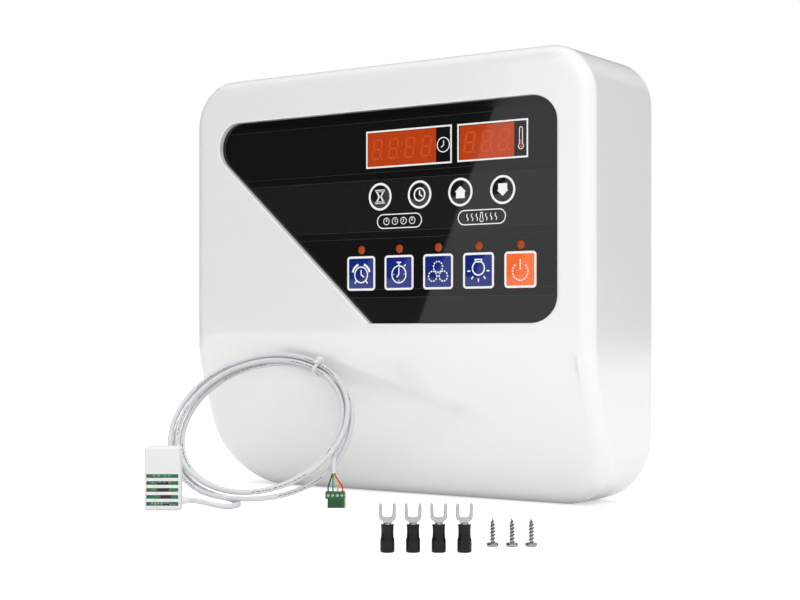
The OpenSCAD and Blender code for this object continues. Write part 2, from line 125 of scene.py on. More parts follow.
def surface(name, colour, roughness=0.4, vary=0.04, grain=900, bump=0.02, patch=30, **sockets):
    """A Principled material whose colour and roughness drift in patches, with a fine grain in its bump."""
    material = bpy.data.materials.new(name)
    material.use_nodes = True
    tree = material.node_tree
    shader = tree.nodes["Principled BSDF"]
    coords = node_in(tree, "TexCoord")
    cloud = node_in(tree, "TexNoise", {"Scale": patch, "Detail": 3})
    darker = (*[c * (1 - vary) for c in colour], 1)
    lighter = (*[min(1, c * (1 + vary)) for c in colour], 1)
    tint = node_in(tree, "Mix", {"A": darker, "B": lighter}, data_type="RGBA")
    rough = node_in(tree, "MapRange", {"To Min": roughness * 0.85, "To Max": roughness * 1.15})
    fine = node_in(tree, "TexNoise", {"Scale": grain, "Detail": 2})
    relief = node_in(tree, "Bump", {"Strength": bump, "Distance": GRAIN_HEIGHT})
    wire(tree, (coords, "Object", cloud, "Vector"), (cloud, "Fac", tint, "Factor"),
         (tint, "Result", shader, "Base Color"), (cloud, "Fac", rough, "Value"),
         (rough, "Result", shader, "Roughness"), (coords, "Object", fine, "Vector"),
         (fine, "Fac", relief, "Height"), (relief, "Normal", shader, "Normal"))
    for socket, value in sockets.items():
        shader.inputs[socket.replace("_", " ")].default_value = value
    return material


def metal(name, colour, roughness=0.35, **more):
    return surface(name, colour, roughness, Metallic=1, vary=0.1, grain=2500, bump=0.05, patch=90, **more)


HOUSING = surface("housing_white", (0.86, 0.86, 0.85), 0.3, vary=0.006, grain=1400, bump=0.012,
                  Coat_Weight=1, Coat_IOR=1.82, Coat_Roughness=0.12)
PRINT_WHITE = surface("print_white", (0.9, 0.9, 0.9), 0.35, vary=0.02)
PRINT_BLACK = surface("print_black", (0.02, 0.02, 0.022), 0.4)
KEY_BLACK = surface("key_black", (0.008, 0.008, 0.009), 0.07, bump=0.004)
KEY_BLUE = surface("key_blue", (0.006, 0.02, 0.2), 0.08, bump=0.004)
KEY_ORANGE = surface("key_orange", (0.95, 0.16, 0.035), 0.1, bump=0.004)
WINDOW_ORANGE = surface("window_orange", (0.49, 0.052, 0.006), 0.03, vary=0.08, patch=160, bump=0.0)
DIGIT_ORANGE = surface("digit_orange", (0.6, 0.078, 0.015), 0.1, vary=0.06)
LAMP_ORANGE = surface("lamp_orange", (0.4, 0.055, 0.006), 0.12, Specular_IOR_Level=0.3)
WHITE_PLASTIC = surface("white_plastic", (0.76, 0.765, 0.76), 0.4, vary=0.01, bump=0.03)
BLACK_PLASTIC = surface("black_plastic", (0.02, 0.02, 0.021), 0.45, bump=0.05)
GREY_PLASTIC = surface("grey_plastic", (0.12, 0.125, 0.13), 0.5, bump=0.05)
GREEN_PLASTIC = surface("green_plastic", (0.012, 0.11, 0.026), 0.42, bump=0.04)
LEAF_GREEN = surface("plug_side", (0.62, 0.72, 0.5), 0.45, bump=0.04)
BLUE_PLASTIC = surface("relay_blue", (0.02, 0.10, 0.42), 0.35, bump=0.03)
RUBBER = surface("rubber", (0.018, 0.018, 0.018), 0.75, bump=0.15, grain=1800)
JACKET = surface("cable_jacket", (0.62, 0.625, 0.64), 0.38, vary=0.015, bump=0.03)
TIE_NYLON = surface("tie_nylon", (0.88, 0.89, 0.88), 0.35, Transmission_Weight=0.2)
SLEEVE = surface("sleeve_black", (0.007, 0.007, 0.008), 0.25, bump=0.03, Specular_IOR_Level=0.22)
ZINC = metal("zinc", (0.62, 0.63, 0.65), 0.33)
TIN = metal("tin", (0.42, 0.42, 0.42), 0.22)
STEEL_DARK = metal("screw_steel", (0.36, 0.35, 0.33), 0.14)
BRASS = metal("brass", (0.72, 0.52, 0.22), 0.3)
CORE_STEEL = metal("core_steel", (0.3, 0.31, 0.33), 0.5)
COPPER = surface("winding_tape", (0.62, 0.42, 0.1), 0.4, bump=0.06)
HEATSINK = metal("black_anodised", (0.035, 0.036, 0.04), 0.45)
FUSE_GLASS = surface("fuse_glass", (0.9, 0.95, 0.95), 0.05, bump=0.0, Transmission_Weight=0.8)
SENSOR_GREEN = surface("sensor_green", (0.03, 0.33, 0.13), 0.3, vary=0.2, patch=300, bump=0.05)
BOARD = surface("board_green", (0.01, 0.13, 0.045), 0.3, vary=0.25, patch=220, bump=0.06)
CORE_BLACK = surface("core_black", (0.03, 0.05, 0.04), 0.45)
CORE_TEAL = surface("core_teal", (0.02, 0.25, 0.2), 0.45)
CORE_YELLOW = surface("core_yellow", (0.75, 0.45, 0.02), 0.45)
CORE_RED = surface("core_red", (0.6, 0.02, 0.015), 0.45)
MAINS_BROWN = surface("mains_brown", (0.2, 0.06, 0.02), 0.45)
FLOOR = surface("floor_pale", (0.88, 0.88, 0.88), 0.9, vary=0.003, bump=0.0, Specular_IOR_Level=0,
                Emission_Color=(1, 1, 1, 1))


# ---- Mesh helpers: everything is given in millimetres ----
def piece(name, points, faces, material, body="cover", slot=None, sharp=35, node=None):
    mesh = bpy.data.meshes.new(name)
    mesh.from_pydata([Vector(p) * MM for p in points], [], faces)
    shade(mesh, sharp)
    made = bpy.data.objects.new(name, mesh)
    scene.collection.objects.link(made)
    mesh.materials.append(material)
    return declare(made, node, body)


def declare(made, node=None, body="cover"):
    """Says which body a piece rides on, and hides the CAD nodes that it stands for."""
    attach(made, body)
    if node:
        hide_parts(*node.split())
    return made


def shade(mesh, sharp):
    """Smooth shading, with edges over the angle kept sharp."""
    work = bmesh.new()
    work.from_mesh(mesh)
    bmesh.ops.remove_doubles(work, verts=work.verts, dist=1e-7)
    bmesh.ops.recalc_face_normals(work, faces=work.faces)
    limit = math.radians(sharp)
    for face in work.faces:
        face.smooth = True
    for edge in work.edges:
        edge.smooth = not (len(edge.link_faces) == 2 and edge.calc_face_angle(0) > limit)
    work.to_mesh(mesh)
    work.free()


def arc(x, z, r, start, end, steps):
    return [(x + r * math.cos(math.radians(start + (end - start) * i / steps)),
             z + r * math.sin(math.radians(start + (end - start) * i / steps))) for i in range(steps + 1)]


def round_rectangle(left, right, low, high, r, grow=0, steps=6):
    q = max(r + grow, 0.01)
    a, b, c, d = left + r, right - r, low + r, high - r
    return (arc(b, c, q, -90, 0, steps) + arc(b, d, q, 0, 90, steps)
            + arc(a, d, q, 90, 180, steps) + arc(a, c, q, 180, 270, steps))


def at_depth(ring, depth):
    return [(x, FRONT + depth, z) for x, z in ring]


def stack(rings, cap_first=True, cap_last=True):
    """Points and faces of a solid through rings of the same count, each a list of 3-D points."""
    n = len(rings[0])
    points = [p for ring in rings for p in ring]
    faces = []
    for k in range(len(rings) - 1):
        for i in range(n):
            j = (i + 1) % n
            faces.append([k * n + i, k * n + j, (k + 1) * n + j, (k + 1) * n + i])
    if cap_first:
        faces.append(list(range(n))[::-1])
    if cap_last:
        faces.append([(len(rings) - 1) * n + i for i in range(n)])
    return points, faces


def plate(ring, near, far):
    """A solid with the same outline at two depths behind the front."""
    return stack([at_depth(ring, near), at_depth(ring, far)])


def joined(parts):
    """One list of points and faces from several."""
    points, faces = [], []
    for more_points, more_faces in parts:
        start = len(points)
        points += list(more_points)
        faces += [[i + start for i in face] for face in more_faces]
    return points, faces


def block(low, high, bevel=0.3, steps=2):
    """A box with rounded vertical and horizontal edges, by its corners."""
    work = bmesh.new()
    bmesh.ops.create_cube(work, size=1)
    size = Vector(high) - Vector(low)
    for vert in work.verts:
        vert.co = Vector(low) + Vector([(vert.co[i] + 0.5) * size[i] for i in range(3)])
    if bevel:
        bmesh.ops.bevel(work, geom=list(work.edges), offset=min(bevel, min(size) * 0.45), segments=steps,
                        affect="EDGES", profile=0.5)
    work.verts.ensure_lookup_table()
    work.verts.index_update()
    made = [v.co.copy() for v in work.verts], [[v.index for v in f.verts] for f in work.faces]
    work.free()
    return made


def lathe(profile, centre, axis="y", steps=48):
    """A solid turned about an axis through centre: profile holds (radius, distance along the axis)."""
    rings = []
    for r, along in profile:
        ring = []
        for i in range(steps):
            a = 2 * math.pi * i / steps
            u, v = r * math.cos(a), r * math.sin(a)
            offset = {"y": (u, along, v), "z": (u, v, along), "x": (along, u, v)}[axis]
            ring.append(tuple(centre[k] + offset[k] for k in range(3)))
        rings.append(ring)
    return stack(rings)


def turned(part, at, yaw=KIT_YAW):
    """Moves a part that was made about the origin to a place on the surface, turned about the vertical."""
    spin = Matrix.Rotation(yaw, 4, "Z")
    points, faces = part
    return [tuple(spin @ Vector(p) + Vector((at[0], at[1], 0))) for p in points], faces


def sweep(path, radius, sides):
    """A tube along points, with its rings carried along without twist."""
    path = [Vector(p) for p in path]
    last = len(path) - 1
    directions = [(path[min(i + 1, last)] - path[max(i - 1, 0)]).normalized() for i in range(last + 1)]
    side = directions[0].orthogonal().normalized()
    rings = []
    for p, d in zip(path, directions):
        side = (side - d * side.dot(d)).normalized()
        up = d.cross(side)
        rings.append([tuple(p + radius * (math.cos(2 * math.pi * i / sides) * side
                                          + math.sin(2 * math.pi * i / sides) * up))
                      for i in range(sides)])
    return stack(rings)


def loose(name, part, material=None):
    """An object that isn't on a body yet: the start of a boolean, or its cutter."""
    mesh = bpy.data.meshes.new(name)
    mesh.from_pydata([Vector(p) * MM for p in part[0]], [], part[1])
    work = bmesh.new()
    work.from_mesh(mesh)
    bmesh.ops.recalc_face_normals(work, faces=work.faces)
    work.to_mesh(mesh)
    work.free()
    if material:
        mesh.materials.append(material)
    made = bpy.data.objects.new(name, mesh)
    scene.collection.objects.link(made)
    return made


def boolean(target, operation, *parts):
    """Applies an exact boolean of target with the parts, taken together."""
    cutter = loose("cutter", joined(parts))
    modifier = target.modifiers.new("cut", "BOOLEAN")
    modifier.operation = operation
    modifier.solver = "EXACT"
    modifier.object = cutter
    bpy.context.view_layer.update()
    graph = bpy.context.evaluated_depsgraph_get()
    result = bpy.data.meshes.new_from_object(target.evaluated_get(graph))
    target.modifiers.clear()
    target.data = result
    bpy.data.objects.remove(cutter)


# ---- Printed marks: flat shapes in the front view, given a hair's thickness ----
def ribbon(points, width, closed=False):
    """Left and right edges of a line of even width through points in the front view."""
    n = len(points)
    left, right = [], []
    for i in range(n):
        before = Vector(points[i - 1]) if i or closed else None
        here = Vector(points[i])
        after = Vector(points[(i + 1) % n]) if i < n - 1 or closed else None
        a = (here - before).normalized() if before is not None else (after - here).normalized()
        b = (after - here).normalized() if after is not None else a
        normal = Vector((-(a + b).y, (a + b).x))
        normal = normal.normalized() if normal.length > 1e-6 else Vector((-a.y, a.x))
        reach = width / 2 / max(0.35, normal.dot(Vector((-a.y, a.x))))
        left.append(tuple(here + normal * reach))
        right.append(tuple(here - normal * reach))
    return left, right


def printed(lines=(), shapes=(), depth=0.0, rise=0.04, sink=0.08):
    """A thin solid for each line (points, width, closed) and each filled shape, on a face at depth."""
    parts = []
    near, far = FRONT + depth - rise, FRONT + depth + sink
    for points, width, closed in lines:
        left, right = ribbon(points, width, closed)
        n = len(points)
        rows = [[(x, near, z) for x, z in left], [(x, near, z) for x, z in right],
                [(x, far, z) for x, z in right], [(x, far, z) for x, z in left]]
        verts = [p for row in rows for p in row]
        faces = []
        for i in range(n if closed else n - 1):
            j = (i + 1) % n
            for k in range(4):
                m = (k + 1) % 4
                faces.append([k * n + i, k * n + j, m * n + j, m * n + i])
        if not closed:
            faces += [[0, n, 2 * n, 3 * n], [n - 1, 4 * n - 1, 3 * n - 1, 2 * n - 1]]
        parts.append((verts, faces))
    for shape in shapes:
        parts.append(stack([[(x, near, z) for x, z in shape], [(x, far, z) for x, z in shape]]))
    return joined(parts)


def ring_line(x, z, r, width, start=0, end=360, steps=40):
    closed = abs(end - start) == 360
    points = arc(x, z, r, start, end, steps)
    return (points[:-1] if closed else points, width, closed)


def line(points, width):
    return (points, width, False)


def closed_line(points, width):
    return (points, width, True)


def dashes(points, width, count, share=0.6):
    """Short strokes spread evenly along a line of points."""
    lengths = [0]
    for a, b in zip(points, points[1:]):
        lengths.append(lengths[-1] + math.dist(a, b))

    def at(s):
        for i in range(len(points) - 1):
            if s <= lengths[i + 1] + 1e-9:
                t = (s - lengths[i]) / (lengths[i + 1] - lengths[i])
                return tuple(points[i][k] + t * (points[i + 1][k] - points[i][k]) for k in range(2))
        return points[-1]

    step = lengths[-1] / count
    return [line([at(i * step + step * (1 - share) / 2), at(i * step + step * (1 + share) / 2)], width)
            for i in range(count)]


def moved(lines, dx, dz):
    return [([(x + dx, z + dz) for x, z in points], width, closed) for points, width, closed in lines]


# ---- Sensor lead ----
LEAD_R = 1.5
PRINT_WIDTH = 0.16
LEAD_START = [(-58.2, -156, 5), (-54.9, -153.8, 5), (-50, -150.5, 4.2), (-44.5, -146.6, 2.4),
              (-40, -142, 1.6), (-38, -136.6, 1.6), (-39.6, -131.8, 1.9), (-44, -129.2, 2.8),
              (-50, -128.9, 4.4)]
LEAD_END = [(-4, -83.6, 36.6), (-3.4, -89.4, 30.4), (-1.8, -94, 24.4), (0.6, -97, 18)]
COIL_MIDDLE = middle("lead_coil")
COIL_R = 51
COIL_LEAN = math.radians(42)
COIL_TURN = math.radians(20)
COIL_ACROSS = Vector((math.cos(COIL_TURN), math.sin(COIL_TURN), 0))
COIL_RISE = Vector((-math.sin(COIL_TURN) * math.sin(COIL_LEAN), math.cos(COIL_TURN) * math.sin(COIL_LEAN),
                    math.cos(COIL_LEAN)))
COIL_AXIS = COIL_ACROSS.cross(COIL_RISE)
COIL_FROM = 260
TURN_STEPS = 48
COIL_STEPS = 180
TIE_ANGLE = 60
TIE_HALF = 3.4
TIE_TURN = (COIL_FROM - TIE_ANGLE) / 360
LAY_FROM = -80
LAY_PER_TURN = 90
TIGHT_LAY = 2.6
LOOSE_LAY = 1.1
# Where a turn makes way for the lead's start and for its end: (turn, width, outwards, forwards)
PASSES = [(0.97, 0.06, -0.5, 2), (0.81, 0.08, -0.54, -4.07)]


def smooth(p, q, s, e, t):
    """The point at t from q to s on the smooth curve through four points."""
    square, cube = 2 * p - 5 * q + 4 * s - e, 3 * q - p - 3 * s + e
    return 0.5 * (2 * q + (s - p) * t + square * t * t + cube * t ** 3)


def route(points, steps):
    points = [Vector(p) for p in points]
    last = len(points) - 1
    made = [smooth(points[max(i - 1, 0)], points[i], points[i + 1], points[min(i + 2, last)], k / steps)
            for i in range(last) for k in range(steps)]
    return made + [points[-1]]


def on_coil(angle, outwards, forwards):
    a = math.radians(angle)
    ray = math.cos(a) * COIL_ACROSS + math.sin(a) * COIL_RISE
    return COIL_MIDDLE + (COIL_R + outwards) * ray + forwards * COIL_AXIS


def place_in_bundle(turn):
    """Outward and forward offset of a turn: the turns spiral round each other, tight only at the tie."""
    angle = math.radians(LAY_FROM + LAY_PER_TURN * turn)
    radius = TIGHT_LAY + LOOSE_LAY * (1 - math.cos(2 * math.pi * (turn - TIE_TURN))) / 2
    from_start = min(1, turn / 0.2)
    to_end = min(1, (COIL_STEPS / TURN_STEPS - turn) / 0.15)
    radius *= (1 + from_start) / 2 * to_end
    outwards, forwards = radius * math.cos(angle), radius * math.sin(angle)
    for where, width, more_out, more_forward in PASSES:
        share = math.exp(-((turn - where) / width) ** 2)
        outwards += more_out * share
        forwards += more_forward * share
    return outwards, forwards


def lead_path():
    turns = [on_coil(COIL_FROM - i * 360 / TURN_STEPS, *place_in_bundle(i / TURN_STEPS))
             for i in range(COIL_STEPS + 1)]
    return route(LEAD_START, 4)[:-2] + turns[1:-1] + route(LEAD_END, 4)[2:]


LEAD_PATH = lead_path()


def strip_marks(path, radius, runs, width, view_from):
    """Short printed strokes along a tube, on the side of it that faces view_from."""
    lengths = [0]
    for a, b in zip(path, path[1:]):
        lengths.append(lengths[-1] + (b - a).length)
    parts = []

    def frame_at(s):
        i = max(k for k in range(len(path) - 1) if lengths[k] <= s)
        t = (s - lengths[i]) / (lengths[i + 1] - lengths[i])
        p = path[i].lerp(path[i + 1], t)
        d = (path[i + 1] - path[i]).normalized()
        out = (view_from - p).normalized()
        out = (out - d * out.dot(d)).normalized()
        return p, d, out

    for start, end in runs:
        steps = max(2, int((end - start) / 1.5))
        rings = []
        for k in range(steps + 1):
            p, d, out = frame_at(start + (end - start) * k / steps)
            side = d.cross(out)
            ring = []
            for a, r in ((-width, 0.03), (0, 0.03), (width, 0.03), (width, -0.2), (0, -0.2), (-width, -0.2)):
                turn = a / radius
                ring.append(tuple(p + (radius + r) * (math.cos(turn) * out + math.sin(turn) * side)))
            rings.append(ring)
        parts.append(stack(rings))
    return piece("jacket_print", *joined(parts), PRINT_BLACK, slot="black_plastic")


def print_runs(length):
    """Where the jacket's print falls: groups of short strokes, with long plain stretches between."""
    dice = random.Random(7)
    runs = []
    s = 60
    while s < length - 80:
        group = s + dice.uniform(22, 34)
        while s < group:
            stroke = dice.uniform(0.7, 2.6)
            runs.append((s, s + stroke))
            s += stroke + dice.uniform(0.5, 1.1)
        s += dice.uniform(45, 80)
    return runs


CORE_MATERIALS = [CORE_BLACK, CORE_TEAL, CORE_YELLOW, CORE_RED]
PLUG_AT = (6, -103)
PLUG_WAYS = 4
PLUG_PITCH = 2.54
CLAMP_Z = 7.1


def make_cores():
    yaw = Vector((math.cos(KIT_YAW), math.sin(KIT_YAW), 0))
    last = Vector(LEAD_END[-1])
    cores = []
    for i, material in enumerate(CORE_MATERIALS):
        foot = Vector((PLUG_AT[0], PLUG_AT[1], 8.6)) + (i - 1.5) * PLUG_PITCH * yaw
        top = last + (i - 1.5) * 0.68 * yaw + Vector((0, 0, 0.4))
        points = [top + Vector((-0.2, 0.4, 1.2)), top, top + Vector((0.2, -0.5, -1.6)),
                  foot + Vector((-0.4, 0.5, 3.2)), foot, foot - Vector((0, 0, 0.5))]
        core = piece(f"core_{i + 1}", *sweep(route(points, 5), 0.42, 10), material, slot="core_insulation")
        cores.append(core)
    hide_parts("lead_cores")
    return cores


def make_plug():
    """Four-way screw plug: a clamp row on top of a narrower skirt, with a pale keyed side."""
    upper = block((-5.4, -2.6, 5.1), (5.4, 2.6, 9), 0.25)
    skirt = block((-4.2, -2.1, 0), (5.4, 2.6, 5.3), 0.3)
    flange = block((-5.6, 2.55, 4.6), (5.6, 4.2, 8.6), 0.3)
    ribs = [block((-4.2 + 2.0 * i, -2.3, 0.4), (-3.8 + 2.0 * i, -2, 4.8), 0.1) for i in range(5)]
    body = loose("plug_shell", joined([upper, skirt, flange] + ribs), GREEN_PLASTIC)
    ways = [(i - (PLUG_WAYS - 1) / 2) * PLUG_PITCH for i in range(PLUG_WAYS)]
    wells = [lathe([(1.05, -3.5), (1.05, -1.2)], (x, 0, CLAMP_Z), steps=24) for x in ways]
    mouths = [block((x - 0.85, -1.2, 7.6), (x + 0.85, 1.3, 9.5), 0.2) for x in ways]
    pockets = [block((-3.6 + 2.0 * i, -3, 0.8), (-2.4 + 2.0 * i, -1.1, 4.3), 0.1) for i in range(4)]
    boolean(body, "DIFFERENCE", *wells)
    boolean(body, "DIFFERENCE", *pockets)
    boolean(body, "DIFFERENCE", *mouths)
    shade(body.data, 35)
    body.matrix_world = Matrix.Translation(Vector((*PLUG_AT, 0)) * MM) @ Matrix.Rotation(KIT_YAW, 4, "Z")
    declare(body, "plug_body")
    side = piece("plug_side", *turned(block((5.3, -2.2, 0.6), (6.2, 2.4, 8.8), 0.25), PLUG_AT), LEAF_GREEN,
                 slot="green_plastic")
    head = [(0.55, -2.45), (0.8, -2.4), (0.9, -2.2), (0.9, -1.2)]
    screws = loose("clamp_screws", joined([lathe(head, (x, 0, CLAMP_Z), steps=24) for x in ways]), TIN)
    slots = [block((x - 1, -2.6, 6.98), (x + 1, -2.15, 7.22), 0) for x in ways]
    boolean(screws, "DIFFERENCE", *slots)
    shade(screws.data, 35)
    screws.matrix_world = body.matrix_world.copy()
    declare(screws, "plug_screws")
    return [body, side, screws]


def make_tie():
    """Nylon tie round the four turns: a thin strap, a square head and a cut tail."""
    lay = Matrix.Rotation(math.radians(LAY_FROM + LAY_PER_TURN * TIE_TURN + 45), 2)
    rings = []
    for along, lift in ((-1.2, 0), (-1.2, 0.6), (-1.0, 0.75), (1.0, 0.75), (1.2, 0.6), (1.2, 0)):
        outline = round_rectangle(-TIE_HALF, TIE_HALF, -TIE_HALF, TIE_HALF, 1.75, grow=lift, steps=8)
        spots = [lay @ Vector(p) for p in outline]
        rings.append([on_coil(TIE_ANGLE, p.x, p.y) + along * tie_forward() for p in spots])
    band = stack(rings + [rings[0]], cap_first=False, cap_last=False)
    turn = Matrix.Rotation(math.radians(60), 2)
    parts = [band]
    head = ((3.5, -1.9, -1.8), (6.9, 1.9, 1.8), 0.5)
    tail = ((4.7, 1.7, -1.0), (5.4, 4.2, 1.0), 0.15)
    for low, high, bevel in (head, tail):
        points, faces = block(low, high, bevel)
        spots = [(turn @ Vector((p.x, p.y)), p.z) for p in points]
        parts.append(([on_coil(TIE_ANGLE, *spot) + along * tie_forward() for spot, along in spots], faces))
    return piece("nylon_tie", *joined(parts), TIE_NYLON, slot="clear_tie", node="cable_tie")


def tie_forward():
    a = math.radians(TIE_ANGLE)
    return -math.sin(a) * COIL_ACROSS + math.cos(a) * COIL_RISE


def make_lead():
    length = sum((b - a).length for a, b in zip(LEAD_PATH, LEAD_PATH[1:]))
    lead = piece("sensor_lead", *sweep(LEAD_PATH, LEAD_R, 14), JACKET, slot="cable_jacket", sharp=50,
                 node="lead_start lead_coil lead_end")
    view_from = camera.location / MM
    marks = strip_marks(LEAD_PATH, LEAD_R, print_runs(length), PRINT_WIDTH, view_from)
    tie = make_tie()
    [marks, tie] + make_cores() + make_plug()


make_lead()


# ---- Case ----
CREASE_CORNER = 14
CREASE_ROLL = 1.8
CORNER_FADE = 12
POCKET_FLARE = 2.0
POCKET_LIP = 0.7
BOSS_R = 4.5
BOARD_POSTS = ((112.5, 217), (112.5, 108), (-32, 217), (2, 107.5))
CASE_BOSSES = ((124, 236), (-124, 236), (114, 27), (-114, 27))


def fallen(drop):
    return CREASE_SLOPE * drop + FACE_BOW * drop * drop


def setback(x, z):
    """How far the lower face lies behind the front: its crease is rolled, and curves down near each side."""
    inside = max(0.0, min(HALF_W - EDGE_R - abs(x), CREASE_CORNER))
    corner_drop = CREASE_CORNER - math.sqrt(CREASE_CORNER ** 2 - (CREASE_CORNER - inside) ** 2)
    below = CREASE_Z - corner_drop - z
    below = (below + math.sqrt(below * below + CREASE_ROLL ** 2)) / 2
    return fallen(below + corner_drop) - fallen(corner_drop) * math.exp(-below / CORNER_FADE)


SIDE_ROWS = [LOW_CORNER_R + 3 * i for i in range(1, 12)] + [72 + i for i in range(30)] \
    + [104, 108, 115, 130, 150, 180, 205]


def case_outline(d):
    right = (arc(HALF_W - LOW_CORNER_R, LOW_CORNER_R, LOW_CORNER_R - d, -90, 0, 14)
             + [(HALF_W - d, z) for z in SIDE_ROWS]
             + arc(HALF_W - TOP_CORNER_R, CASE_H - TOP_CORNER_R, TOP_CORNER_R - d, 0, 90, 12))
    return right + [(-x, z) for x, z in reversed(right)]


def case_skin(skin, steps, back_rings):
    """One skin of the case: the front, its rounded edge and the sides back to the rim."""
    r = EDGE_R - skin
    rings = []
    for k in range(steps + 1):
        a = math.pi / 2 * k / steps
        d = skin + r - r * math.sin(a)
        rings.append([(x, FRONT + skin + setback(x, z) + r - r * math.cos(a), z) for x, z in case_outline(d)])
    for inset, depth in back_rings:
        rings.append([(x, FRONT + depth, z) for x, z in case_outline(skin + inset)])
    sides = stack(rings, cap_first=False, cap_last=False)
    inner = case_outline(skin + r)
    half = len(inner) // 2
    steps_in = [0, 1.5, 3.5, 6, 9, 12, 16, 22, 30]
    front, rows = [], []
    for i in range(half):
        x_end, z = inner[i]
        xs = [x_end, -x_end]
        if 0 < i < half - 1:
            xs = [x_end - s for s in steps_in]
            xs += [xs[-1] * (1 - 2 * j / 8) for j in range(1, 8)] + [-x for x in reversed(xs)]
        rows.append([len(front) + j for j in range(len(xs))])
        front += [(x, FRONT + skin + setback(x, z), z) for x in xs]
    front_faces = [rows[0] + rows[1][::-1], rows[-2] + rows[-1][::-1]]
    for low, high in zip(rows[1:-2], rows[2:-1]):
        front_faces += [[low[j], low[j + 1], high[j + 1], high[j]] for j in range(len(low) - 1)]
    return joined([sides, (front, front_faces)]), rings[-1]


PANEL_LOW, PANEL_HIGH = box_mm("panel_lens")
PANEL_FIT = 0.2
PANEL_R = 15
SLANT_R = 4
SLANT = math.radians(42)
SLANT_X = -5
PANEL_RIGHT = PANEL_HIGH.x + PANEL_FIT
PANEL_TOP = PANEL_HIGH.z + PANEL_FIT
PANEL_BASE = PANEL_LOW.z - PANEL_FIT
PANEL_LEFT_X = SLANT_X - (PANEL_TOP - PANEL_BASE) / math.tan(SLANT) + PANEL_R / math.tan(SLANT / 2)


def panel_outline(grow, border=0.0):
    """The panel's outline moved outwards by grow, and then inwards by border along its top and left: the face
    cut to this leaves the darker lens bare there as painted shade of the recess wall.
    """
    slant_normal = 270 - math.degrees(SLANT)
    points = (arc(PANEL_RIGHT - PANEL_R, PANEL_BASE + PANEL_R, PANEL_R + grow, -90, 0, 16)
              + arc(PANEL_RIGHT - PANEL_R, PANEL_TOP - PANEL_R, PANEL_R + grow, 0, 90, 16)
              + arc(PANEL_LEFT_X, PANEL_TOP - PANEL_R, PANEL_R + grow, 90, slant_normal, 20)
              + arc(SLANT_X + SLANT_R * math.tan(SLANT / 2), PANEL_BASE + SLANT_R, SLANT_R + grow,
                    slant_normal, 270, 6))
    if not border:
        return points
    inner = []
    for i, (x, z) in enumerate(points):
        a = -90 + 90 * i / 16 if i < 17 else 90 * (i - 17) / 16 if i < 34 else \
            90 + (slant_normal - 90) * (i - 34) / 20 if i < 55 else slant_normal
        share = min(1, max(0, (a - 20) / 60)) * min(1, max(0, (slant_normal + 4 - a) / 40))
        a = math.radians(a)
        inner.append((x - border * share * math.cos(a), z - border * share * math.sin(a)))
    return inner


def flared(ring, depth):
    """A ring of the panel's pocket, whose right wall slants outwards towards the front."""
    out = POCKET_FLARE * (1 - max(0, depth) / RECESS)
    near_right = [min(1, max(0, (x - PANEL_RIGHT + PANEL_R) / PANEL_R)) for x, z in ring]
    return at_depth([(x + out * share, z) for (x, z), share in zip(ring, near_right)], depth)


def make_housing():
    back = [(0, CASE_D - 0.5), (0.5, CASE_D)]
    outer, outer_rim = case_skin(0, 10, back)
    inner, inner_rim = case_skin(WALL, 5, [(0, CASE_D)])
    rim = stack([outer_rim, inner_rim], cap_first=False, cap_last=False)
    housing = loose("housing", joined([outer, inner, rim]), HOUSING)
    shade(housing.data, 30)
    tray = stack([at_depth(panel_outline(WALL), 1), at_depth(panel_outline(WALL), TRAY_FAR)])
    boolean(housing, "UNION", tray)
    posts = [(x, z, 3, TRAY_FAR - 0.5, BOARD_NEAR) for x, z in BOARD_POSTS]
    posts += [(x, z, BOSS_R, setback(x, z - BOSS_R) + 1.5, PLATE_NEAR - 0.1) for x, z in CASE_BOSSES]
    posts = [lathe([(r, near), (r, far)], (x, FRONT, z), steps=24) for x, z, r, near, far in posts]
    boolean(housing, "UNION", *posts)
    angles = [math.radians(a) for a in (0, 20, 40, 60, 80, 90)]
    rounded = [(POCKET_LIP * (1 - math.sin(a)), POCKET_LIP * (1 - math.cos(a))) for a in angles]
    pocket = stack([flared(panel_outline(POCKET_LIP + 0.05), -0.6)]
                   + [flared(panel_outline(grow), depth) for grow, depth in rounded]
                   + [flared(panel_outline(0), RECESS), at_depth(panel_outline(0), LENS_FAR)])
    boolean(housing, "DIFFERENCE", pocket)
    window = round_rectangle(-20, 107, 112, 219, 2)
    window = plate(window, RECESS, TRAY_FAR + 1)
    boolean(housing, "DIFFERENCE", window)
    shade(housing.data, 30)
    weighted = housing.modifiers.new("even_normals", "WEIGHTED_NORMAL")
    weighted.keep_sharp = True
    declare(housing, "front_cover")


make_housing()


# ---- Panel: black, printed in bands of several tones, with pairs of fine lines along the bands ----
BAND_LINES = [117.6, 122.4, 152.1, 156.2, 186.3, 190.6, 220.4]
BAND_GREYS = [0.0095, 0.0045, 0.006, 0.006, 0.011, 0.0045, 0.005, 0.0035]
# The lens's deep black is the panel's own black, and where the face leaves it bare along the top and left it
# is painted shade of the recess wall.
PANEL_BLACK_AND_SHADE = surface("panel_black_and_painted_shade", (0.002, 0.002, 0.0022), 0.05, vary=0.1, bump=0.0)


def banded(name, low, high, stops, roughness):
    """A glossy black whose tone depends on height: stops holds (height in mm, grey)."""
    material = surface(name, (0.01, 0.01, 0.01), roughness, bump=0.0)
    tree = material.node_tree
    coords = node_in(tree, "TexCoord")
    split = node_in(tree, "SeparateXYZ")
    span = node_in(tree, "MapRange", {"From Min": low * MM, "From Max": high * MM})
    ramp = node_in(tree, "ValToRGB")
    ramp.color_ramp.interpolation = "CONSTANT"
    elements = ramp.color_ramp.elements
    for i, (height, grey) in enumerate(stops):
        element = elements[i] if i < 2 else elements.new(1)
        element.position = (height - low) / (high - low)
        element.color = (grey, grey, grey * 1.06, 1)
    wire(tree, (coords, "Object", split, "Vector"), (split, "Z", span, "Value"),
         (span, "Result", ramp, "Fac"), (ramp, "Color", tree.nodes["Principled BSDF"], "Base Color"))
    return material


ROUND_R = 8.1
SQUARE_W = 20.2
KEY_GAP = 0.25
LAMP_HOLE_R = 2.6
LAMP_Z = middle("indicator_leds").z


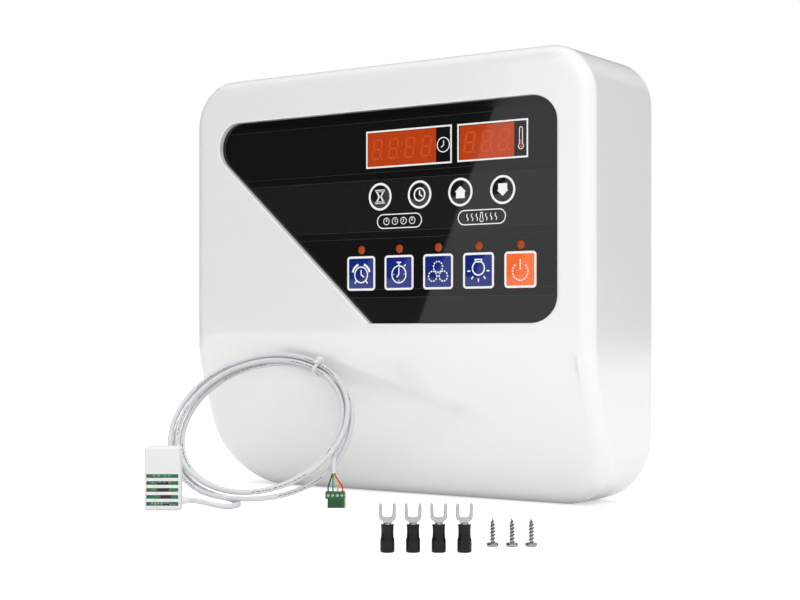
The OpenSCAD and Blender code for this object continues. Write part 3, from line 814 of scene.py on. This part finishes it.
def key_holes():
    near, far = RECESS - 1, LENS_FAR + 1
    cutters = []
    for node in ROUND_KEYS:
        at = middle(node)
        r = ROUND_R + KEY_GAP
        cutters.append(lathe([(r, near), (r, far)], (at.x, FRONT, at.z), steps=64))
    for node in SQUARE_KEYS:
        x, z = middle(node).x, middle(node).z
        side = SQUARE_W / 2 + KEY_GAP
        ring = round_rectangle(x - side, x + side, z - side, z + side, 2.4)
        cutters.append(plate(ring, near, far))
        cutters.append(lathe([(LAMP_HOLE_R, near), (LAMP_HOLE_R, far)], (x, FRONT, LAMP_Z), steps=32))
    return cutters


def make_panel():
    outline = panel_outline(-PANEL_FIT)
    lens = loose("panel", plate(outline, RECESS, LENS_FAR), PANEL_BLACK_AND_SHADE)
    boolean(lens, "DIFFERENCE", *key_holes())
    declare(lens, "panel_lens")
    stops = list(zip([PANEL_BASE] + BAND_LINES, BAND_GREYS))
    tones = banded("panel_tones", PANEL_BASE, PANEL_TOP, stops, 0.02)
    # The face stops short of the lens's top and left edges, so the deeper black there is painted shade of the
    # recess wall.
    inner = panel_outline(-0.6, border=3.6)
    face = loose("panel_face", plate(inner, RECESS - 0.03, RECESS + 0.05), tones)
    boolean(face, "DIFFERENCE", *key_holes())
    declare(face)


make_panel()


def panel_print(name, lines=(), shapes=(), material=PRINT_WHITE, rise=0.08, slot="white_plastic"):
    return piece(name, *printed(lines, shapes, RECESS, rise, 0.02), material, slot=slot)


FRAME_STROKE = 0.95
WINDOW_1 = (-7.6, 40.0, 194.1, 213.9)
WINDOW_2 = (55.9, 91.3, 194.5, 213.5)
FRAME_1 = (-8.8, 50.6, 193.2, 215.0)
FRAME_2 = (54.35, 100.1, 193.4, 214.8)
BAND_PRINT = surface("band_print", (0.028, 0.028, 0.03), 0.2, bump=0.0)


def rectangle(left, right, low, high, inset=0.0):
    return [(left + inset, low + inset), (right - inset, low + inset),
            (right - inset, high - inset), (left + inset, high - inset)]


def band_line_span(z):
    """Left and right ends of a line across the panel at height z."""
    left = SLANT_X - (z - PANEL_BASE) / math.tan(SLANT) + 2.4
    if z > PANEL_TOP - 2 * PANEL_R:
        left = max(left, PANEL_LEFT_X - PANEL_R + 5)
    return left, PANEL_RIGHT - 1.4


def make_band_lines():
    lines = [line([(a, z), (b, z)], 0.22) for z in BAND_LINES for a, b in [band_line_span(z)]]
    return piece("band_lines", *printed(lines, (), RECESS, 0.045, 0.02), BAND_PRINT, slot="black_panel")


def make_windows():
    for name, window in (("time_window", WINDOW_1), ("temperature_window", WINDOW_2)):
        outline = rectangle(*window)
        pane = plate(outline, RECESS - 0.06, LENS_FAR - 0.2)
        piece(name, *pane, WINDOW_ORANGE, slot="display_window")


DIGIT_H = 11
DIGIT_W = 5.6
DIGIT_SLANT = math.tan(math.radians(9))


def segment(x0, z0, x1, z1, width):
    """One six-sided segment of a digit, from end to end."""
    a, b = Vector((x0, z0)), Vector((x1, z1))
    d = (b - a).normalized()
    n = Vector((-d.y, d.x)) * width / 2
    a, b = a + d * 0.25, b - d * 0.25
    tip = d * width / 2
    return [tuple(p) for p in (a, a + tip + n, b - tip + n, b, b - tip - n, a + tip - n)]


def digit(x, z):
    w, h = DIGIT_W / 2, DIGIT_H / 2
    ends = [((-w, h), (w, h)), ((-w, 0), (w, 0)), ((-w, -h), (w, -h)), ((-w, 0), (-w, h)), ((w, 0), (w, h)),
            ((-w, -h), (-w, 0)), ((w, -h), (w, 0))]
    shapes = []
    for (x0, z0), (x1, z1) in ends:
        shape = segment(x0, z0, x1, z1, 1.15)
        shapes.append([(x + px + pz * DIGIT_SLANT, z + pz) for px, pz in shape])
    shapes.append(arc(x + w + 1.5 - h * DIGIT_SLANT, z - h, 0.65, 0, 330, 11))
    return shapes


def make_digits():
    middle_z = (WINDOW_1[2] + WINDOW_1[3]) / 2
    for name, window, count, pitch in (("time_digits", WINDOW_1, 4, 11.4),
                                       ("temperature_digits", WINDOW_2, 3, 11.2)):
        centre = (window[0] + window[1]) / 2
        shapes = [shape for i in range(count)
                  for shape in digit(centre + (i - (count - 1) / 2) * pitch, middle_z)]
        if count == 4:
            shapes += [arc(centre + dz * DIGIT_SLANT, middle_z + dz, 0.6, 0, 330, 11) for dz in (-2.2, 2.2)]
        piece(name, *printed((), shapes, RECESS, 0.085, -0.05), DIGIT_ORANGE, slot="display_window")


def clock_lines(x, z, r, width, hand=1.0):
    return [ring_line(x, z, r, width), line([(x + 0.05 * r, z + 0.6 * r * hand), (x + 0.05 * r, z - 0.05 * r),
                                             (x - 0.36 * r * hand, z - 0.34 * r * hand)], width)]


def thermometer_lines(x, z, h, w, width):
    """Outline of a thermometer h tall about (x, z): a thin tube above a round bulb."""
    bulb_r = w * 0.85
    bulb_z = z - h / 2 + bulb_r
    top = z + h / 2 - w / 2
    gap = math.degrees(math.asin(w / 2 / bulb_r))
    outline = arc(x, bulb_z, bulb_r, 90 + gap, 450 - gap, 24) + arc(x, top, w / 2, 0, 180, 10)
    return [closed_line(outline, width)]


def make_panel_print():
    lines = [closed_line(rectangle(*FRAME_1, inset=FRAME_STROKE / 2), FRAME_STROKE),
             closed_line(rectangle(*FRAME_2, inset=FRAME_STROKE / 2), FRAME_STROKE)]
    lines += clock_lines(44.9, 203.9, 4.1, 0.55)
    lines += thermometer_lines(95.6, 204.3, 12.2, 1.9, 0.42)
    for left, right in ((-1.1, 30.4), (54.55, 86.07)):
        low, high = 157.5, 166.2
        r = (high - low) / 2
        outline = round_rectangle(left + 0.35, right - 0.35, low + 0.35, high - 0.35, r - 0.36, steps=14)
        lines.append(closed_line(outline, 0.6))
    lines += time_caption(14.65, 161.85) + heat_caption(70.3, 161.85)
    panel_print("panel_marks", lines)
    bulb = arc(95.6, 199.8, 0.95, 0, 345, 23)
    column = rectangle(95.25, 95.95, 200, 203.4)
    panel_print("thermometer_fill", (), [bulb, column], DIGIT_ORANGE, slot="orange_lamp")


def hourglass(x, z, w, h, width):
    """Outline of an hourglass with a bar at each end."""
    neck = 0.12 * w
    glass = [(x - w / 2, z + h / 2), (x - neck, z), (x - w / 2, z - h / 2),
             (x + w / 2, z - h / 2), (x + neck, z), (x + w / 2, z + h / 2)]
    bar = w / 2 + width
    return [closed_line(glass, width)] + [line([(x - bar, z + s), (x + bar, z + s)], width * 1.3)
                                          for s in (-h / 2 - width / 2, h / 2 + width / 2)]


def time_caption(x, z):
    """Small clocks at four different hours, in a row."""
    lines = []
    for i in range(4):
        cx = x + (i - 1.5) * 6
        lines.append(ring_line(cx, z, 1.95, 0.42, steps=28))
        a = math.radians(90 - 90 * i)
        tip = (cx + 0.95 * math.cos(a - 0.6), z + 0.95 * math.sin(a - 0.6))
        lines.append(line([(cx, z + 1.2), (cx, z), tip], 0.38))
    return lines


def heat_caption(x, z):
    """A thermometer between rising waves of heat."""
    lines = thermometer_lines(x, z, 5.2, 1.4, 0.42)
    for i in (-3, -2, -1, 1, 2, 3):
        cx = x + i * 3.1
        wave = [(cx + 0.5 * math.sin(t * math.pi / 6), z - 2 + t * 4 / 12) for t in range(13)]
        lines.append(line(wave, 0.5))
    return lines


make_band_lines()
make_windows()
make_digits()
make_panel_print()

# ---- Keys ----
KEY_FACE = box_mm("hour_key")[0].y - FRONT
STEM_FAR = box_mm("hour_key")[1].y - FRONT
KEY_CAP_FAR = LENS_FAR + 0.3
KEY_FLANGE_FAR = LENS_FAR + 1.2
RING_STROKE = 1.3
KEY_BORDER = 1.25
STEM_R = 1.7


def key_print(name, body, lines=(), shapes=(), material=PRINT_WHITE):
    marks = printed(lines, shapes, KEY_FACE, 0.05, 0.12)
    return piece(name, *marks, material, body=body, slot="white_plastic")


def make_round_key(node, lines=(), shapes=()):
    at = middle(node)
    profile = [(ROUND_R - 0.18, KEY_FACE), (ROUND_R - 0.05, KEY_FACE + 0.06), (ROUND_R, KEY_FACE + 0.2),
               (ROUND_R, KEY_CAP_FAR), (ROUND_R + 1.2, KEY_CAP_FAR), (ROUND_R + 1.2, KEY_FLANGE_FAR),
               (STEM_R, KEY_FLANGE_FAR), (STEM_R, STEM_FAR)]
    piece(f"{node}_cap", *lathe(profile, (at.x, FRONT, at.z), steps=72), KEY_BLACK, body=node,
          slot="round_key_plastic", node=node)
    ring = ring_line(at.x, at.z, ROUND_R - 0.05 - RING_STROKE / 2, RING_STROKE, steps=72)
    symbol = [[(at.x + x, at.z + z) for x, z in shape] for shape in shapes]
    key_print(f"{node}_print", node, [ring] + moved(lines, at.x, at.z), symbol)


def arrow_up(w, h):
    """A block arrow w wide and h tall, point up."""
    shaft, neck = w * 0.39, h * 0.02
    return [(0, h / 2), (-w / 2, neck), (-shaft, neck), (-shaft, -h / 2), (shaft, -h / 2), (shaft, neck),
            (w / 2, neck)]


def make_square_key(node, lines, material=KEY_BLUE, slot="blue_key_plastic"):
    at = middle(node)
    half = SQUARE_W / 2

    def outline(grow, r=2.2):
        return round_rectangle(at.x - half, at.x + half, at.z - half, at.z + half, r, grow=grow, steps=8)

    cap = stack([at_depth(outline(-0.18), KEY_FACE), at_depth(outline(-0.05), KEY_FACE + 0.06),
                 at_depth(outline(0), KEY_FACE + 0.2), at_depth(outline(0), KEY_CAP_FAR),
                 at_depth(outline(0.7), KEY_CAP_FAR), at_depth(outline(0.7), KEY_FLANGE_FAR)])
    stem = lathe([(STEM_R, KEY_FLANGE_FAR - 0.2), (STEM_R, STEM_FAR)], (at.x, FRONT, at.z), steps=32)
    piece(f"{node}_cap", *joined([cap, stem]), material, body=node, slot=slot, node=node)
    border = closed_line(outline(-0.02 - KEY_BORDER / 2), KEY_BORDER)
    key_print(f"{node}_print", node, [border] + moved(lines, at.x, at.z))


def alarm_clock():
    lines = [ring_line(0, -0.8, 4.6, 0.75, steps=48),
             line([(0, 2.1), (0, -0.8), (2.2, -2.2)], 0.75),
             line([(-3.4, -4.4), (-4.6, -5.9)], 0.8), line([(3.4, -4.4), (4.6, -5.9)], 0.8)]
    for side in (-1, 1):
        start, end = (108, 166) if side < 0 else (14, 72)
        lines.append(ring_line(0, -0.8, 6.3, 1.3, start, end, 14))
    return lines


def stopwatch():
    lines = [ring_line(0, -1, 4.9, 0.75, steps=48),
             line([(0, 4), (0, 5.4)], 0.9), line([(-1.5, 5.9), (1.5, 5.9)], 0.9),
             line([(3.7, 3.6), (4.6, 4.5)], 0.9), line([(0, 2.3), (0, -1), (-1.6, -2.6)], 0.75)]
    for i in range(12):
        a = math.radians(30 * i)
        if i % 3 == 0:
            lines.append(line([(3.3 * math.cos(a), -1 + 3.3 * math.sin(a)),
                               (4.1 * math.cos(a), -1 + 4.1 * math.sin(a))], 0.45))
    return lines


def three_rings():
    """Three dashed rings that touch, the outer two lower than the middle one."""
    lines = []
    for x, z, r, count in ((0, 2.7, 3.1, 11), (-3.6, -2.6, 2.9, 10), (3.6, -2.6, 2.9, 10)):
        lines += dashes(arc(x, z, r, 90, 450, 60), 0.75, count, 0.62)
    return lines


def lamp():
    """A hanging lamp: a neck above a round bulb, with five rays below."""
    lines = [ring_line(0, 1.4, 3.9, 0.8, 118, 422, 44),
             closed_line([(-2.1, 6.2), (-1.7, 4.9), (1.7, 4.9), (2.1, 6.2)], 0.75)]
    for angle in (180, 232, 270, 308, 360):
        a = math.radians(angle)
        start, end = (5.3, 7.2) if angle in (180, 360) else (5.6, 7.5)
        drop = -0.2 if angle in (180, 360) else 1.2
        lines.append(line([(start * math.cos(a), drop + start * math.sin(a)),
                           (end * math.cos(a), drop + end * math.sin(a))], 0.8))
    return lines


def power_symbol():
    """A dashed ring, open at the top, with a dashed bar in the gap."""
    lines = dashes(arc(0, -1, 4.9, 125, 415, 60), 0.8, 14, 0.6)
    return lines + dashes([(0, 5.9), (0, -0.2)], 0.8, 4, 0.62)


def make_keys():
    make_round_key("hour_key", hourglass(0, 0, 5, 6.2, 0.85))
    clock = [ring_line(0, 0, 3.6, 0.85, steps=48), line([(0, 2.3), (0, 0), (1.7, -1.1)], 0.8)]
    make_round_key("minute_key", clock)
    make_round_key("up_key", shapes=[arrow_up(7.4, 7)])
    make_round_key("down_key", shapes=[[(x, -z) for x, z in arrow_up(7.4, 7)]])
    make_square_key("preset_key", alarm_clock())
    make_square_key("timer_key", stopwatch())
    make_square_key("ozone_key", three_rings())
    make_square_key("lamp_key", lamp())
    make_square_key("power_key", power_symbol(), KEY_ORANGE, "orange_key_plastic")


def make_lamps():
    far = box_mm("indicator_leds")[1].y - FRONT
    lamps = []
    for node in SQUARE_KEYS:
        profile = [(0.3, RECESS - 0.02), (1.2, RECESS), (2.1, RECESS + 0.06), (2.45, RECESS + 0.2),
                   (2.5, RECESS + 0.5), (2.5, far - 1), (2.8, far - 1), (2.8, far)]
        lamps.append(lathe(profile, (middle(node).x, FRONT, LAMP_Z), steps=32))
    piece("key_lamps", *joined(lamps), LAMP_ORANGE, slot="orange_lamp", node="indicator_leds")


make_keys()
make_lamps()

# ---- Sensor box ----
SENSOR_AT = (-66, -164)
SENSOR_W = 20
SENSOR_D = 9
SENSOR_H = 35
SENSOR_SLOTS = [3.7 + 3.8 * i for i in range(5)]
SEAM = 0.5


def set_down(made, node=None):
    """Shades a boolean's result, and takes it from about the origin to the sensor's place."""
    shade(made.data, 32)
    made.data.transform(Matrix.Translation(Vector((*SENSOR_AT, 0)) * MM) @ Matrix.Rotation(KIT_YAW, 4, "Z"))
    made.data.update()
    declare(made, node)


def sensor_shell(name, low_y, high_y, cuts, node):
    """A slice of the rounded sensor box, hollowed."""
    w = SENSOR_W / 2
    half_d = SENSOR_D / 2
    wall = 1.2
    shell = loose(name, block((-w, -half_d, 0), (w, half_d, SENSOR_H), 1.5, 4), WHITE_PLASTIC)
    boolean(shell, "INTERSECT", block((-w - 1, low_y, -1), (w + 1, high_y, SENSOR_H + 1), 0))
    hollow = block((-w + wall, -half_d + wall, wall), (w - wall, half_d - wall, SENSOR_H - wall), 0.4)
    boolean(shell, "DIFFERENCE", hollow)
    boolean(shell, "DIFFERENCE", *cuts)
    set_down(shell, node)


def make_sensor():
    w = SENSOR_W / 2
    near = -SENSOR_D / 2
    slots = [block((-8.8, near - 1, z - 1.05), (8.8, near + 2, z + 1.05), 0.25) for z in SENSOR_SLOTS]
    sensor_shell("sensor_front", -SENSOR_D, SEAM - 0.06, slots, "sensor_cover")
    gland = lathe([(1.6, w - 2), (1.6, w + 1)], (0, 2.3, 5), axis="x", steps=24)
    sensor_shell("sensor_back", SEAM + 0.06, SENSOR_D, [gland], "sensor_base")
    lip = block((-w + 1.0, SEAM - 0.8, 1.0), (w - 1.0, SEAM + 0.8, SENSOR_H - 1.0), 0.3)
    lip_piece = loose("sensor_lip", lip, WHITE_PLASTIC)
    boolean(lip_piece, "DIFFERENCE", block((-w + 1.4, -2, 1.4), (w - 1.4, 3, SENSOR_H - 1.4), 0.3))
    set_down(lip_piece)


def make_sensor_parts():
    """What shows through the slots: chips, small parts, pads and a pin row on the green board."""
    board_y = -1.6
    dark, pale, tin = [], [], []
    dice = random.Random(11)
    dark.append(block((-1.2, board_y - 1.1, 6.3), (4.2, board_y, 8.9), 0.12))
    for i in range(5):
        tin.append(block((-0.9 + 1.1 * i, board_y - 0.25, 5.6), (-0.5 + 1.1 * i, board_y, 9.6), 0.05))
    for z in (3.9, 3.3):
        for i in range(8):
            x = -6.4 + 1.7 * i
            kind = (dark, pale, tin)[dice.randrange(3)]
            kind.append(block((x, board_y - 0.5, z - 0.35), (x + 1.0, board_y, z + 0.25), 0.06))
    for z in (11.3, 15.1, 18.9):
        for i in range(4):
            x = -5.6 + 3 * i + dice.uniform(-0.5, 0.5)
            (pale if dice.random() < 0.5 else tin).append(
                block((x, board_y - 0.35, z - 0.3), (x + dice.uniform(0.8, 1.7), board_y, z + 0.3), 0.06))
    for kind, name, material, slot in ((dark, "sensor_chips", BLACK_PLASTIC, "black_plastic"),
                                       (pale, "sensor_resistors", WHITE_PLASTIC, "white_plastic"),
                                       (tin, "sensor_pads", TIN, "zinc_steel")):
        piece(name, *turned(joined(kind), SENSOR_AT), material, slot=slot)


def make_bush():
    w = SENSOR_W / 2
    profile = [(LEAD_R, w - 0.4), (2.2, w - 0.4), (2.2, w + 0.6), (1.95, w + 1.2),
               (2.05, w + 1.8), (1.85, w + 2.4), (1.95, w + 3), (1.75, w + 3.8), (LEAD_R, w + 4)]
    bush = turned(lathe(profile, (0, 2.3, 5), axis="x", steps=32), SENSOR_AT)
    piece("lead_bush", *bush, WHITE_PLASTIC, slot="white_plastic", node="sensor_bush")


make_sensor()
make_sensor_parts()
make_bush()

# ---- Fork terminals and wall screws ----
FORK_AT = (143, -220)
FORK_PITCH = 11.4
SLEEVE_H = 12.4
SCREW_AT = (165.5, -183)
SCREW_PITCH = 8.8


def row_places(at, pitch, count):
    yaw = Vector((math.cos(KIT_YAW), math.sin(KIT_YAW)))
    return [tuple(Vector(at) + (i - (count - 1) / 2) * pitch * yaw) for i in range(count)]


def fork_blade():
    """Flat spade with a round throat: prongs that narrow to bevelled tips, joined to the barrel by a neck."""
    outer, inner, tip = 3.8, 2.15, SLEEVE_H + 9.6
    shoulder_r, throat_r = 2.6, 1.2
    shoulder, throat = SLEEVE_H + 3.6, SLEEVE_H + 4.3
    left = [(-1.68, SLEEVE_H - 1.5), (-1.75, SLEEVE_H + 0.2)]
    outline = ([(1.75, SLEEVE_H + 0.2)] + arc(outer - shoulder_r, shoulder, shoulder_r, -70, 0, 10)
               + [(outer, tip - 1.2), (outer - 0.75, tip), (inner + 0.25, tip - 0.9)]
               + arc(inner - throat_r, throat, throat_r, 0, -90, 8)
               + arc(throat_r - inner, throat, throat_r, -90, -180, 8)
               + [(-inner - 0.25, tip - 0.9), (-outer + 0.75, tip), (-outer, tip - 1.2)]
               + arc(shoulder_r - outer, shoulder, shoulder_r, 180, 250, 10)
               + left[::-1] + [(1.68, SLEEVE_H - 1.5)])
    rings = []
    for y, inset in ((-0.4, 0.12), (-0.28, 0), (0.28, 0), (0.4, 0.12)):
        n = len(outline)
        ring = []
        for i, (x, z) in enumerate(outline):
            before, after = Vector(outline[i - 1]), Vector(outline[(i + 1) % n])
            along = (after - before).normalized()
            ring.append((x - along.y * inset, y, z + along.x * inset))
        rings.append(ring)
    return stack(rings)


def make_forks():
    blades, sleeves = [], []
    sleeve = [(1.72, 0.6), (1.9, 0.1), (2.8, 0), (3.15, 0.25), (3.25, 0.8), (3.25, 5.2), (3.15, 5.9),
              (2.88, 6.5), (2.8, 9), (2.85, 11.4), (3.02, 11.8), (3.02, 12.2), (2.8, SLEEVE_H),
              (1.72, SLEEVE_H)]
    barrel = [(1.1, 5), (1.66, 5), (1.66, SLEEVE_H + 0.3), (1.5, SLEEVE_H + 0.6), (0.3, SLEEVE_H + 0.7)]
    for at in row_places(FORK_AT, FORK_PITCH, 4):
        blades += [turned(fork_blade(), at), turned(lathe(barrel, (0, 0, 0), axis="z", steps=32), at)]
        sleeves.append(turned(lathe(sleeve, (0, 0, 0), axis="z", steps=48), at))
    piece("forks", *joined(blades), TIN, slot="zinc_steel", sharp=40, node="fork_terminals")
    piece("fork_sleeves", *joined(sleeves), SLEEVE, slot="black_plastic", sharp=40, node="terminal_sleeves")


def screw_shank():
    """Shank with one helical thread that fades out under the tip."""
    pitch, turns_of_points, rows = 1.55, 28, 132
    low, high = 1.8, 13.2
    rings = []
    for k in range(rows + 1):
        z = low + (high - low) * k / rows
        taper = min(1, (high - z) / 3.4)
        core = 0.85 * taper ** 0.8 + 0.02
        crest = 0.78 * min(1, (z - low) / 0.8) * min(1, (high - z) / 2.6)
        ring = []
        for i in range(turns_of_points):
            a = 2 * math.pi * i / turns_of_points
            phase = (z / pitch - i / turns_of_points) % 1
            rise = max(0, 1 - abs(phase - 0.5) / 0.24)
            r = core + crest * rise
            ring.append((r * math.cos(a), r * math.sin(a), z))
        rings.append(ring)
    return stack(rings)


def make_screws():
    """Three self-tapping screws on their heads. The cross recess is cut before the shanks are added."""
    head = [(1.2, 0), (2.2, 0.02), (2.7, 0.35), (2.82, 0.8), (2.75, 1.35), (2.5, 1.75), (1.0, 1.95)]
    places = row_places(SCREW_AT, SCREW_PITCH, 3)
    heads = [turned(lathe(head, (0, 0, 0), axis="z", steps=40), at) for at in places]
    made = loose("self_tappers", joined(heads), STEEL_DARK)
    for low, high in (((-1.6, -0.3, -0.4), (1.6, 0.3, 0.7)), ((-0.3, -1.6, -0.4), (0.3, 1.6, 0.7))):
        boolean(made, "DIFFERENCE", *[turned(block(low, high, 0), at) for at in places])
    shanks = loose("shanks", joined([turned(screw_shank(), at) for at in places]))
    work = bmesh.new()
    work.from_mesh(made.data)
    work.from_mesh(shanks.data)
    work.to_mesh(made.data)
    work.free()
    bpy.data.objects.remove(shanks)
    shade(made.data, 38)
    declare(made, "wall_screws")


make_forks()
make_screws()

# ---- Small parts on the two boards, in their free places: (left, low, right, high) ----
POWER_FREE = [(-100, 66, -52, 88), (-70, 134, 8, 156), (-48, 94, -2, 109), (20, 108, 42, 144)]
DISPLAY_FREE = [(-26, 172, 6, 214), (34, 112, 56, 214), (78, 108, 110, 160)]
CERAMIC = surface("ceramic_tan", (0.45, 0.25, 0.09), 0.45, vary=0.15, bump=0.05)
PART_STEP = 6.5


def board_parts(prefix, face, toward, areas, body, seed):
    """A grid of chips with bright ends, small cans and ceramic discs, each moved a little at random."""
    dice = random.Random(seed)
    dark, bright, tan = [], [], []

    def slab(kind, x, z, w, h, tall):
        low, high = sorted((face, face + toward * tall))
        kind.append(block((x - w / 2, low, z - h / 2), (x + w / 2, high, z + h / 2), 0.12, 1))

    for left, low, right, high in areas:
        for column in range(int((right - left) / PART_STEP)):
            for row in range(int((high - low) / PART_STEP)):
                x = left + (column + 0.5) * PART_STEP + dice.uniform(-0.8, 0.8)
                z = low + (row + 0.5) * PART_STEP + dice.uniform(-0.8, 0.8)
                choice = dice.random()
                if choice < 0.55:
                    slab(dark, x, z, 2.2, 1.6, 0.6)
                    slab(bright, x - 1.35, z, 0.5, 1.7, 0.65)
                    slab(bright, x + 1.35, z, 0.5, 1.7, 0.65)
                elif choice < 0.7:
                    slab(tan, x, z, 2.0, 1.25, 0.9)
                    slab(bright, x - 1.2, z, 0.4, 1.3, 0.95)
                    slab(bright, x + 1.2, z, 0.4, 1.3, 0.95)
                elif choice < 0.78:
                    can = [(1.9, 0), (2.0, 0.3), (2.0, 5), (1.8, 5.3), (1.5, 5.2)]
                    can = [(r, toward * along) for r, along in can]
                    dark.append(lathe(can, (x, face, z), steps=24))
                elif choice < 0.9:
                    slab(bright, x, z, 0.9, 0.9, 0.5)
    for kind, name, material, slot in ((dark, "dark", BLACK_PLASTIC, "black_plastic"),
                                       (bright, "bright", TIN, "zinc_steel"),
                                       (tan, "tan", CERAMIC, "copper_winding")):
        piece(f"{prefix}_{name}_parts", *joined(kind), material, body=body, slot=slot)


board_parts("power", box_mm("power_board")[0].y, -1, POWER_FREE, "back_plate", 5)
board_parts("display", box_mm("display_board")[1].y, 1, DISPLAY_FREE, "cover", 9)

# ---- Materials of the CAD nodes that show as they are ----
NODE_LOOKS = {
    ZINC: "back_plate display_board_screws power_board_screws terminal_screws case_screws",
    WINDOW_ORANGE: "time_display temperature_display",
    BLACK_PLASTIC: "key_switches control_chip buzzer ribbon_plugs ribbon_header capacitors "
                   "regulator sensor_chip",
    GREY_PLASTIC: "switch_plungers ribbon_cable terminal_block",
    BOARD: "display_board power_board",
    BRASS: "board_standoffs",
    CORE_STEEL: "transformer_core",
    COPPER: "transformer_winding",
    BLUE_PLASTIC: "relays",
    TIN: "fuse_holder",
    FUSE_GLASS: "fuse",
    HEATSINK: "heatsink",
    GREEN_PLASTIC: "sensor_socket",
    MAINS_BROWN: "mains_wires",
    RUBBER: "cable_grommets",
    SENSOR_GREEN: "sensor_board",
}


def dress_nodes():
    for material, names in NODE_LOOKS.items():
        for name in names.split():
            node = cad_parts[name]
            if not node.data.materials:
                node.data.materials.append(material)
            for slot in node.material_slots:
                slot.material = material


dress_nodes()

# ---- Floor, surroundings and lights ----
REFLECTION_EDGE = ((79.7, 225.3), (27.7, 102.1))
FLOOR_GLOW = 0.5
GLOSSY_SHARE = 0.45
DIFFUSE_WORLD = 0.42
DARK_WORLD = 0.06
BRIGHT_WORLD = 0.95
OTHER_CARD = 0.35
DARK_BELOW_Y = -0.25
DARK_ABOVE_X = 0.2


def make_floor():
    mesh = bpy.data.meshes.new("floor")
    half = 6
    corners = [(-half, -half, 0), (half, -half, 0), (half, half, 0), (-half, half, 0)]
    mesh.from_pydata(corners, [], [(0, 1, 2, 3)])
    mesh.materials.append(FLOOR)
    tree = FLOOR.node_tree
    path = node_in(tree, "LightPath")
    shine = maths(tree, "MULTIPLY", path.outputs["Is Glossy Ray"], GLOSSY_SHARE)
    seen = maths(tree, "ADD", path.outputs["Is Camera Ray"], shine)
    glow = maths(tree, "MULTIPLY", seen, FLOOR_GLOW)
    tree.links.new(glow, tree.nodes["Principled BSDF"].inputs["Emission Strength"])
    floor = bpy.data.objects.new("floor", mesh)
    scene.collection.objects.link(floor)


def make_world():
    """White surroundings, in which glossy surfaces see a bright card with a straight edge.

    The rest is dark towards the front and the right, and paler elsewhere. The card's edge is worked out once,
    from REFLECTION_EDGE and the camera's place, and then stays where it is in every view.
    """
    world = bpy.data.worlds.new("studio")
    scene.world = world
    world.use_nodes = True
    tree = world.node_tree
    background = tree.nodes["Background"]
    mirrored = Vector((camera.location.x, 2 * (FRONT + RECESS) * MM - camera.location.y, camera.location.z))
    rays = [Vector((x * MM, (FRONT + RECESS) * MM, z * MM)) - mirrored for x, z in REFLECTION_EDGE]
    edge = rays[1].cross(rays[0]).normalized()
    if edge.x < 0:
        edge = -edge
    coords = node_in(tree, "TexCoord")
    dot = node_in(tree, "VectorMath", {1: edge}, operation="DOT_PRODUCT")
    axes = node_in(tree, "SeparateXYZ")
    wire(tree, (coords, "Generated", dot, "Vector"), (coords, "Generated", axes, "Vector"))
    ahead = maths(tree, "LESS_THAN", axes.outputs["Y"], DARK_BELOW_Y)
    rightwards = maths(tree, "GREATER_THAN", axes.outputs["X"], DARK_ABOVE_X)
    elsewhere = maths(tree, "SUBTRACT", OTHER_CARD, maths(tree, "MAXIMUM", ahead, rightwards))
    side = maths(tree, "GREATER_THAN", dot.outputs["Value"], 0)
    card = node_in(tree, "MapRange", {"To Min": DARK_WORLD, "To Max": BRIGHT_WORLD})
    tree.links.new(maths(tree, "MAXIMUM", side, elsewhere), card.inputs["Value"])
    path = node_in(tree, "LightPath")
    glossy = node_in(tree, "Mix", {"A": DIFFUSE_WORLD})
    camera_sees = node_in(tree, "Mix", {"B": 1.0})
    wire(tree, (path, "Is Glossy Ray", glossy, "Factor"), (card, "Result", glossy, "B"),
         (path, "Is Camera Ray", camera_sees, "Factor"), (glossy, "Result", camera_sees, "A"),
         (camera_sees, "Result", background, "Strength"))
    background.inputs["Color"].default_value = (1, 1, 1, 1)


def area_light(name, location, aim, size, power):
    data = bpy.data.lights.new(name, "AREA")
    data.shape = "DISK"
    data.size = size
    data.energy = power
    light = bpy.data.objects.new(name, data)
    light.location = location
    light.rotation_euler = (Vector(aim) - Vector(location)).to_track_quat("-Z", "Y").to_euler()
    light.visible_glossy = False
    scene.collection.objects.link(light)


def soft_sun(name, tilt, side, angle, strength):
    """Even light from above, tilted towards the front and turned towards the right."""
    data = bpy.data.lights.new(name, "SUN")
    data.angle = math.radians(angle)
    data.energy = strength
    light = bpy.data.objects.new(name, data)
    light.rotation_euler = (math.radians(tilt), 0, math.radians(side))
    light.visible_glossy = False
    scene.collection.objects.link(light)


make_floor()
make_world()
soft_sun("top_light", 10, 35, 60, 2.2)
area_light("key_light", (1.1, -1.1, 0.6), (0, 0, 0.12), 0.9, 5.6)
scene.view_settings.view_transform = "Standard"
